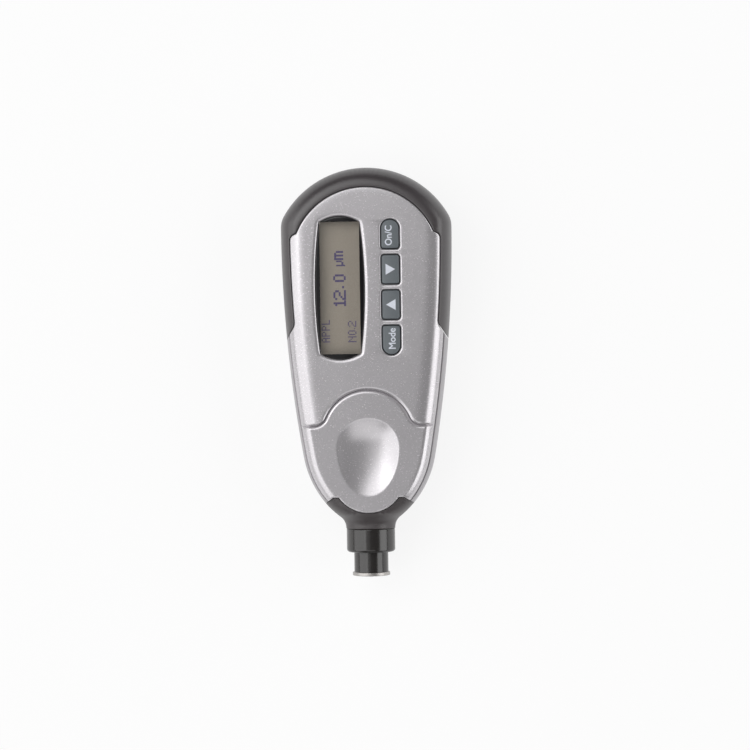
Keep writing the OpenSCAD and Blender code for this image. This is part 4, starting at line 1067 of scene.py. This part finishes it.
def battery_door():
    """Sliding door with tongues at its sides and grip grooves."""
    r = DOOR_EDGE_R
    wide, narrow = DOOR_W / 2 + TONGUE_W, DOOR_W / 2
    end = half_outline(inset_at_height(DOOR_Z))
    end = clip(end, np.minimum(wide - end[:, 0], end[:, 1] - TOP_C))
    loop = mirrored(join(end, line(end[-1], (wide, DOOR_Y)), line((wide, DOOR_Y), (0, DOOR_Y))))
    face = rect(narrow, DOOR_Y, Y_TOP)
    sides = [line((s * narrow, DOOR_Y), (s * narrow, Y_TOP)) for s in (-1, 1)]
    edges = sides + [line((-narrow, DOOR_Y), (narrow, DOOR_Y))]
    rows = skin_rows(EDGE_ANGLES[4:]) + step_rows(face)[:1] + edge_rows(face, r, -1)
    for x in (-narrow - STEP_GAP, narrow + STEP_GAP):
        rows.append(line((x, DOOR_Y), (x, Y_TOP)))
    groove_r = GRIP_PITCH / 4
    grooves = []
    for i in range(GRIP_N):
        y = DOOR_Y + GRIP_IN + i * GRIP_PITCH + groove_r
        middle = line((groove_r - GRIP_W / 2, y), (GRIP_W / 2 - groove_r, y), 0.5)
        grooves.append(middle)
        rows.append(middle)
        for beside in groove_r * GRIP_SHARES:
            right = arc(middle[-1], beside, 90, -90, 0.1)
            left = arc(middle[0], beside, 270, 90, 0.1)
            ring = join(middle + [0, beside], right, middle[::-1] - [0, beside], left)
            rows.append(closed(ring[:-1]))

    def bottom(xy):
        dip = GRIP_H * np.sqrt(np.clip(1 - (distance(xy, grooves) / groove_r) ** 2, 0, 1))
        z = back_height(xy) + drop(distance(xy, edges), r) + dip
        at_tongue = np.abs(xy[:, 0]) > narrow + STEP_GAP / 2
        z = np.where(at_tongue, np.maximum(z, DOOR_Z - TONGUE_T), z)
        return np.minimum(z, DOOR_Z - THIN_EDGE)

    piece = slab("door_panel", [loop], rows, level(DOOR_Z), bottom, SHADED_REAR_PAINT)
    settle(piece, "door", "silver_case", "battery_door")


def cell_profile():
    """Half section of a cell: a recessed base, two rolled edges and a stud."""
    r, body, e = CELL_D / 2, CELL_L - STUD_H, CELL_EDGE_R
    base, rolled, seat = 0.12, 0.35, 0.4
    return join(
        [(0, base), (r - 1.4, base), (r - 1.2, 0), (r - CELL_CRIMP, 0)],
        arc((r - e, rolled), e, -90, 0, 0.08),
        line((r, seat), (r, body - seat), 2),
        arc((r - e, body - rolled), e, 0, 90, 0.08),
        [(r - 0.6, body - 0.05), (r - 0.8, body - seat), (STUD_R, body - seat)],
        arc((STUD_R - e, CELL_L - e), e, 0, 90, 0.08),
        [(0, CELL_L)],
    )


def cells():
    """Two cells in printed sleeves, one each way round."""
    lo, hi = box_mm("battery_cells")
    metal_r, band_y = CELL_D / 2 - CELL_CRIMP, CELL_BAND_FROM * (CELL_L - STUD_H)
    for name, x, start, way in (
        ("cell_left", -CELL_X, hi[1] - CELL_L, 1),
        ("cell_right", CELL_X, lo[1] + CELL_L, -1),
    ):
        profile = cell_profile() * [1, way] + [0, start]
        piece = lathe(name, profile, CELL_SLEEVE, (x, CELL_Z), 64)
        piece.data.materials.append(CELL_BAND)
        piece.data.materials.append(NICKEL)
        for face in piece.data.polygons:
            along = (face.center[1] / MM - start) * way
            out = math.hypot(face.center[0] / MM - x, face.center[2] / MM - CELL_Z)
            face.material_index = 2 if out < metal_r else int(along > band_y)
        settle(piece, "case", "cell_wrap", "battery_cells")


def display_window():
    """Acrylic window: clear over the picture, black round it."""
    lo, hi = box_mm("display_window")
    cx, cy = (lo + hi)[:2] / 2
    outer = window_loop(WINDOW_FIT)
    top_z, r = hi[2] - WINDOW_DOWN, WINDOW_EDGE_R
    x, y = VIEW_W / 2, VIEW_L / 2
    view = rect(x, -y, y) + [cx, cy]
    rows = edge_rows(outer, r, -1) + [closed(view)]
    rims = [closed(outer)]
    piece = slab(
        "window",
        [outer],
        rows,
        lambda xy: top_z - drop(distance(xy, rims), r),
        level(lo[2]),
        BLACK_ACRYLIC,
    )
    piece.data.materials.append(clear_acrylic())
    for face in piece.data.polygons:
        c = np.array(face.center) / MM - [cx, cy, 0]
        face.material_index = int(abs(c[0]) < x and abs(c[1]) < y)
    settle(piece, "case", "window", "display_window")


# Letters of the display by rows of dots, from the top of the letter
DOT_ROWS = {
    "0": ".##. #..# #..# #..# #..# #..# .##.",
    "1": ".#. ##. .#. .#. .#. .#. ###",
    "2": ".###. #...# ....# ..##. .#... #.... #####",
    ".": ". . . . . # .",
    "u": ".... .... #..# #..# #..# ###. #...",
    "m": "..... ..... ####. #.#.# #.#.# #.#.# #.#.#",
    "A": ".##. #..# #..# #### #..# #..# #..#",
    "P": "###. #..# #..# ###. #... #... #...",
    "L": "#... #... #... #... #... #... ####",
    "O": ".##. #..# #..# #..# #..# #..# .##.",
    "N": "#...# ##..# #.#.# #..## #...# #...# #...#",
}
# The reading: letter, place from the middle of the glass, dot pitch across and along
READING = [
    ("1", -2.05, -5.15, 0.51, 0.53),
    ("2", -2.05, -3.4, 0.51, 0.56),
    (".", -2.05, 0.0, 0.51, 0.6),
    ("0", -2.05, 1.85, 0.51, 0.54),
    ("u", -2.14, 6.4, 0.51, 0.4),
    ("m", -2.68, 8.2, 0.51, 0.52),
]
# Small words at the foot of the display: word and place, with one dot pitch
SMALL_WORDS = [("APPL", -5.7, -15.7), ("NO.2", 1.97, -15.73)]
SMALL_DOT = (0.355, 0.345)
# Size of a dot beside its pitch, and how far it goes into and stands on the glass
READING_FILL = 1.12
SMALL_FILL = 0.9
DOT_Z = (-0.02, 0.03)


def dots(letter, start, pitch, fill):
    """Middles and half sizes of the dots of a letter that reads upwards along Y, its top to the left."""
    found = []
    for row, line_dots in enumerate(DOT_ROWS[letter].split()):
        for column, dot in enumerate(line_dots):
            if dot == "#":
                at = (start[0] + (row + 0.5) * pitch[0], start[1] + (column + 0.5) * pitch[1])
                found.append((*at, fill * pitch[0] / 2, fill * pitch[1] / 2))
    return found


def display_reading():
    """The reading on the glass, in thin square dots."""
    lo, hi = box_mm("lcd_panel")
    cx, cy = (lo + hi)[:2] / 2
    found = []
    for letter, x, y, across, along in READING:
        found += dots(letter, (cx + x, cy + y), (across, along), READING_FILL)
    for word, x, y in SMALL_WORDS:
        for letter in word:
            found += dots(letter, (cx + x, cy + y), SMALL_DOT, SMALL_FILL)
            y += (len(DOT_ROWS[letter].split()[0]) + 1) * SMALL_DOT[1]
    corners = [(a, b, c) for c in DOT_Z for a, b in ((-1, -1), (1, -1), (1, 1), (-1, 1))]
    sides = [(3, 2, 1, 0), (4, 5, 6, 7), (0, 1, 5, 4), (1, 2, 6, 5), (2, 3, 7, 6), (3, 0, 4, 7)]
    verts, faces = [], []
    for x, y, a, b in found:
        faces += [tuple(i + len(verts) for i in side) for side in sides]
        verts += [(x + u * a, y + v * b, hi[2] + w) for u, v, w in corners]
    settle(mesh_object("display_reading", verts, faces, DISPLAY_DOTS), "case", "display_glass")


def key_body(node):
    """Name of the body that a key's solid moves with."""
    return node.replace("key_", "") + "_key"


def key_top(x, cx, z):
    """Height of a key's crowned top."""
    return z - KEY_CROWN + np.sqrt(KEY_CROWN**2 - (x - cx) ** 2)


def key_caps():
    """Four key caps with their flanges."""
    for i, node in enumerate(KEY_NODES):
        lo, hi = box_mm(node)
        cx = (lo + hi)[0] / 2
        cap, flange = key_loop(i, 0), key_loop(i, KEY_FLANGE)
        rows = step_rows(cap) + edge_rows(cap, KEY_EDGE_R, -1)
        rows += [line((cx + x, lo[1]), (cx + x, hi[1]), 0.8) for x in KEY_ROWS]

        def top(xy, cap=cap, cx=cx, hi=hi):
            z = key_top(xy[:, 0], cx, hi[2]) - PRINT_T - drop(distance(xy, [closed(cap)]), KEY_EDGE_R)
            return np.where(within(xy, cap), z, KEY_FLANGE_Z)

        bottom = level(KEY_FLANGE_Z - KEY_FLANGE_T)
        piece = slab(node + "_cap", [flange], rows, top, bottom, KEY_SILICONE)
        settle(piece, key_body(node), "key_grey", node)


def text_loops(text, length, height):
    """Edges of a text's letters, centred, at a length and a height in millimetres."""
    curve = bpy.data.curves.new("legend", "FONT")
    curve.body = text
    curve.resolution_u = 5
    holder = new_object("legend", curve)
    mesh = final_mesh(holder)
    bpy.data.objects.remove(holder)
    mesh.calc_loop_triangles()
    points = np.array([v.co[:2] for v in mesh.vertices])
    follow = dict(rim(np.array([tuple(t.vertices) for t in mesh.loop_triangles])).tolist())
    points = (points - (points.min(0) + points.max(0)) / 2) / np.ptp(points, axis=0) * [length, height]
    loops = []
    while follow:
        start, at = follow.popitem()
        loop = [start]
        while at != start:
            loop.append(at)
            at = follow.pop(at)
        loops.append(offset(points[loop], -LEGEND_BOLD))
    return loops


# Printed legends by key: a word with its length and place from the key's middle, or an arrow's direction
LEGENDS = [("On/C", 5.65, (-0.45, -0.43)), 1, -1, ("Mode", 5.9, (0.24, 0.43))]
LEGEND_H = 1.95
LEGEND_BOLD = 0.05
ARROW_W = 2.75
ARROW_L = 3.15


def key_legends():
    """Printed words and arrows on the keys, which read upwards."""
    arrow = np.array([(-ARROW_W / 2, -ARROW_L / 2), (ARROW_W / 2, 0), (-ARROW_W / 2, ARROW_L / 2)])
    for node, legend in zip(KEY_NODES, LEGENDS):
        lo, hi = box_mm(node)
        cx, cy = (lo + hi)[:2] / 2
        if isinstance(legend, int):
            loops = [arrow * [legend, 1] + [cx, cy]]
        else:
            word, length, place = legend
            loops = [
                loop[:, ::-1] * [-1, 1] + place + [cx, cy] for loop in text_loops(word, length, LEGEND_H)
            ]
        across = np.linspace(-ARROW_W / 2, ARROW_W / 2, 15)
        rows = [line((cx + x, cy - 3), (cx + x, cy + 3), 0.6) for x in across]

        def top(xy, cx=cx, z=hi[2]):
            return key_top(xy[:, 0], cx, z)

        def bottom(xy, top=top):
            return top(xy) - 3 * PRINT_T

        piece = slab(node + "_legend", loops, rows, top, bottom, KEY_PRINT)
        settle(piece, key_body(node), "key_grey")


def turned_pieces():
    """Collar, sleeve and end ring of the probe."""
    lo, hi = box_mm("probe_collar")
    sleeve_lo, sleeve_hi = box_mm("probe_sleeve")
    ring_lo, ring_hi = box_mm("wear_ring")
    r, sleeve_r, ring_r = hi[0], sleeve_hi[0], ring_hi[0]
    bore = sleeve_r + SLEEVE_FIT
    collar = join(
        [(bore, lo[1])],
        arc((r - COLLAR_EDGE_R, lo[1] + COLLAR_EDGE_R), COLLAR_EDGE_R, -90, 0, 0.1),
        arc((r - COLLAR_TOP_R, Y_NOSE - COLLAR_TOP_R), COLLAR_TOP_R, 0, 90, 0.08),
        [(SHANK_R, Y_NOSE), (SHANK_R, hi[1]), (bore, hi[1])],
    )
    sleeve = [
        (PIN_HOLE_R, sleeve_lo[1]),
        (sleeve_r, sleeve_lo[1]),
        (sleeve_r, sleeve_hi[1]),
        (sleeve_r - SLEEVE_WALL, sleeve_hi[1]),
        (sleeve_r - SLEEVE_WALL, sleeve_lo[1] + SLEEVE_END),
        (PIN_HOLE_R, sleeve_lo[1] + SLEEVE_END),
    ]
    ring = join(
        [(PIN_HOLE_R, ring_lo[1])],
        arc((ring_r - RING_EDGE_R, ring_lo[1] + RING_EDGE_R), RING_EDGE_R, -90, 0, 0.06),
        arc((ring_r - RING_EDGE_R, ring_hi[1] - RING_EDGE_R), RING_EDGE_R, 0, 90, 0.06),
        [(PIN_HOLE_R, ring_hi[1])],
    )
    for name, profile, material, node, slot in (
        ("collar", collar, BLACK_ACETAL, "probe_collar", "black_gloss"),
        ("sleeve", sleeve, BLACK_ACETAL, "probe_sleeve", "black_gloss"),
        ("end_ring", ring, TURNED_STEEL, "wear_ring", "bright_steel"),
    ):
        settle(lathe(name, profile, material), "case", slot, node)


def pin_spring():
    """Spring that pushes the pin out."""
    lo, hi = box_mm("probe_spring")
    wire, length = SPRING_WIRE_R, hi[1] - lo[1]
    steps, sides = 30 * SPRING_TURNS, 10
    t = np.linspace(0, 1, steps + 1)[:, None]
    turn = 2 * math.pi * SPRING_TURNS * t
    k = np.linspace(0, 2 * math.pi, sides, endpoint=False)
    out = (hi[0] - lo[0]) / 2 - wire + wire * np.cos(k)
    along = lo[1] + wire + (length - 2 * wire) * t + wire * np.sin(k)
    verts = np.stack([out * np.cos(turn), along, AXIS_Z + out * np.sin(turn)], axis=2).reshape(-1, 3)
    faces = [tuple(range(sides)), tuple(range(steps * sides, (steps + 1) * sides))]
    for i in range(steps):
        for j in range(sides):
            a, b = i * sides + j, i * sides + (j + 1) % sides
            faces.append((a, b, b + sides, a + sides))
    piece = mesh_object("pin_spring", verts, faces, NICKEL)
    settle(piece, "case", "bright_steel", "probe_spring")
    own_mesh(piece)


def solid_finishes():
    """Finishes of the solids that show as they are."""
    finish = {
        "lcd_panel": DISPLAY_GLASS,
        "lcd_contacts": CARBON_RUBBER,
        "backlight": LIGHT_GUIDE,
        "dome_sheet": POLYESTER,
        "main_board": BOARD_EPOXY,
        "board_chips": CHIP_EPOXY,
        "buzzer": CHIP_EPOXY,
        "probe_socket": NYLON,
        "probe_leads": RED_PVC,
        "battery_contacts": NICKEL,
        "battery_bridge": NICKEL,
        "case_screws": ZINC,
        "probe_nut": BRASS,
        "pole_pin": CHROME,
        "coil_bobbin": NYLON,
        "probe_coils": COPPER_WIRE,
        "probe_guide": NYLON,
    }
    for node, material in finish.items():
        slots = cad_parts[node].data.materials
        slots.clear()
        slots.append(material)


# The photograph's view: millimetres across the picture at the middle of the case, and the camera's place
FIELD = 220.2
CAMERA_FAR = 660.0
CAMERA_YAW = 2.5
CAMERA_ROLL = 0.87
AIM = (1.9, -0.73, HALF_T)


def camera():
    """Camera at the photograph's viewing angle: almost straight down on the front."""
    data = bpy.data.cameras.new("camera")
    data.sensor_width = 36.0
    data.lens = data.sensor_width * CAMERA_FAR / FIELD
    data.clip_end = 10
    cam = new_object("camera", data)
    bpy.context.scene.camera = cam
    yaw, roll = math.radians(CAMERA_YAW), math.radians(CAMERA_ROLL)
    back = Vector((math.sin(yaw), 0, math.cos(yaw)))
    up = Vector((math.sin(roll), math.cos(roll), 0))
    right = up.cross(back).normalized()
    up = back.cross(right)
    place = Matrix.Translation((Vector(AIM) + back * CAMERA_FAR) * MM)
    cam.matrix_world = place @ Matrix((right, up, back)).transposed().to_4x4()


def lamp(name, place, aim, size, power):
    """A soft box, in metres."""
    data = bpy.data.lights.new(name, "AREA")
    data.shape = "RECTANGLE"
    data.size, data.size_y = size
    data.energy = power
    obj = new_object(name, data)
    obj.location = place
    obj.rotation_mode = "QUATERNION"
    obj.rotation_quaternion = (Vector(aim) - Vector(place)).to_track_quat("-Z", "Y")


# Share of its own white that the floor shows to the eye and in mirrors, and strength of the surround
FLOOR_GLOW = 0.86
SURROUND = 0.1


def studio():
    """Pale floor, soft boxes and an even surround."""
    lamp("left_panel", (-0.85, -0.1, 1.15), (0, -0.1, 1.15), (1.6, 2.1), 16.5)
    lamp("upper_left_box", (-0.346, 0.54, 1.038), (0, 0, 0), (0.85, 0.84), 3.9)
    lamp("right_panel", (1.2, 0.0, 0.675), (0, 0, 0.675), (2.0, 1.05), 13.0)
    lamp("near_box", (0.0, -0.66, 1.14), (0, 0, 0), (0.9, 0.75), 1.9)
    lamp("over_panel", (-0.46, 0.0, 1.6), (-0.46, 0.0, 0), (0.78, 1.2), 1.0)
    world = bpy.data.worlds.new("surround")
    bpy.context.scene.world = world
    world.use_nodes = True
    background = world.node_tree.nodes["Background"]
    background.inputs["Color"].default_value = (1, 1, 1, 1)
    background.inputs["Strength"].default_value = SURROUND
    bpy.ops.mesh.primitive_plane_add(size=6, location=(0, 0, 0))
    floor = bpy.context.object
    floor.name = "floor"
    floor.data.materials.append(white_paper())


def white_paper():
    """Matt white paper with faint fibres, drawn coarse at 3 mm: white to the eye, but it keeps shadows."""
    material, tree = bare_material("white_paper")
    place = add(tree, "ShaderNodeTexCoord").outputs["Object"]
    fibre = add(tree, "ShaderNodeTexNoise", {"Vector": place, "Scale": 1 / (3 * MM)})
    tone = add(
        tree,
        "ShaderNodeMix",
        {"Factor": fibre.outputs["Fac"], 6: linear("#F4F4F4"), 7: linear("#F7F7F7")},
        data_type="RGBA",
    )
    paper = add(tree, "ShaderNodeBsdfDiffuse", {"Color": tone.outputs[2]})
    glow = add(tree, "ShaderNodeEmission", {"Color": (1, 1, 1, 1), "Strength": 1.0})
    path = add(tree, "ShaderNodeLightPath")
    seen = add(
        tree,
        "ShaderNodeMath",
        {0: path.outputs["Is Camera Ray"], 1: path.outputs["Is Glossy Ray"]},
        operation="MAXIMUM",
    )
    seen = add(
        tree,
        "ShaderNodeMath",
        {0: seen.outputs[0], 1: path.outputs["Is Transmission Ray"]},
        operation="MAXIMUM",
    )
    share = add(tree, "ShaderNodeMath", {0: seen.outputs[0], 1: FLOOR_GLOW}, operation="MULTIPLY")
    shader = add(
        tree,
        "ShaderNodeMixShader",
        {0: share.outputs[0], 1: paper.outputs[0], 2: glow.outputs[0]},
    )
    add(tree, "ShaderNodeOutputMaterial", {"Surface": shader.outputs[0]})
    return material


front_cover()
top_bumper()
nose_boot()
rear_cover()
battery_door()
cells()
display_window()
display_reading()
key_caps()
key_legends()
turned_pieces()
pin_spring()
solid_finishes()
camera()
studio()
bpy.context.scene.view_settings.view_transform = "Standard"
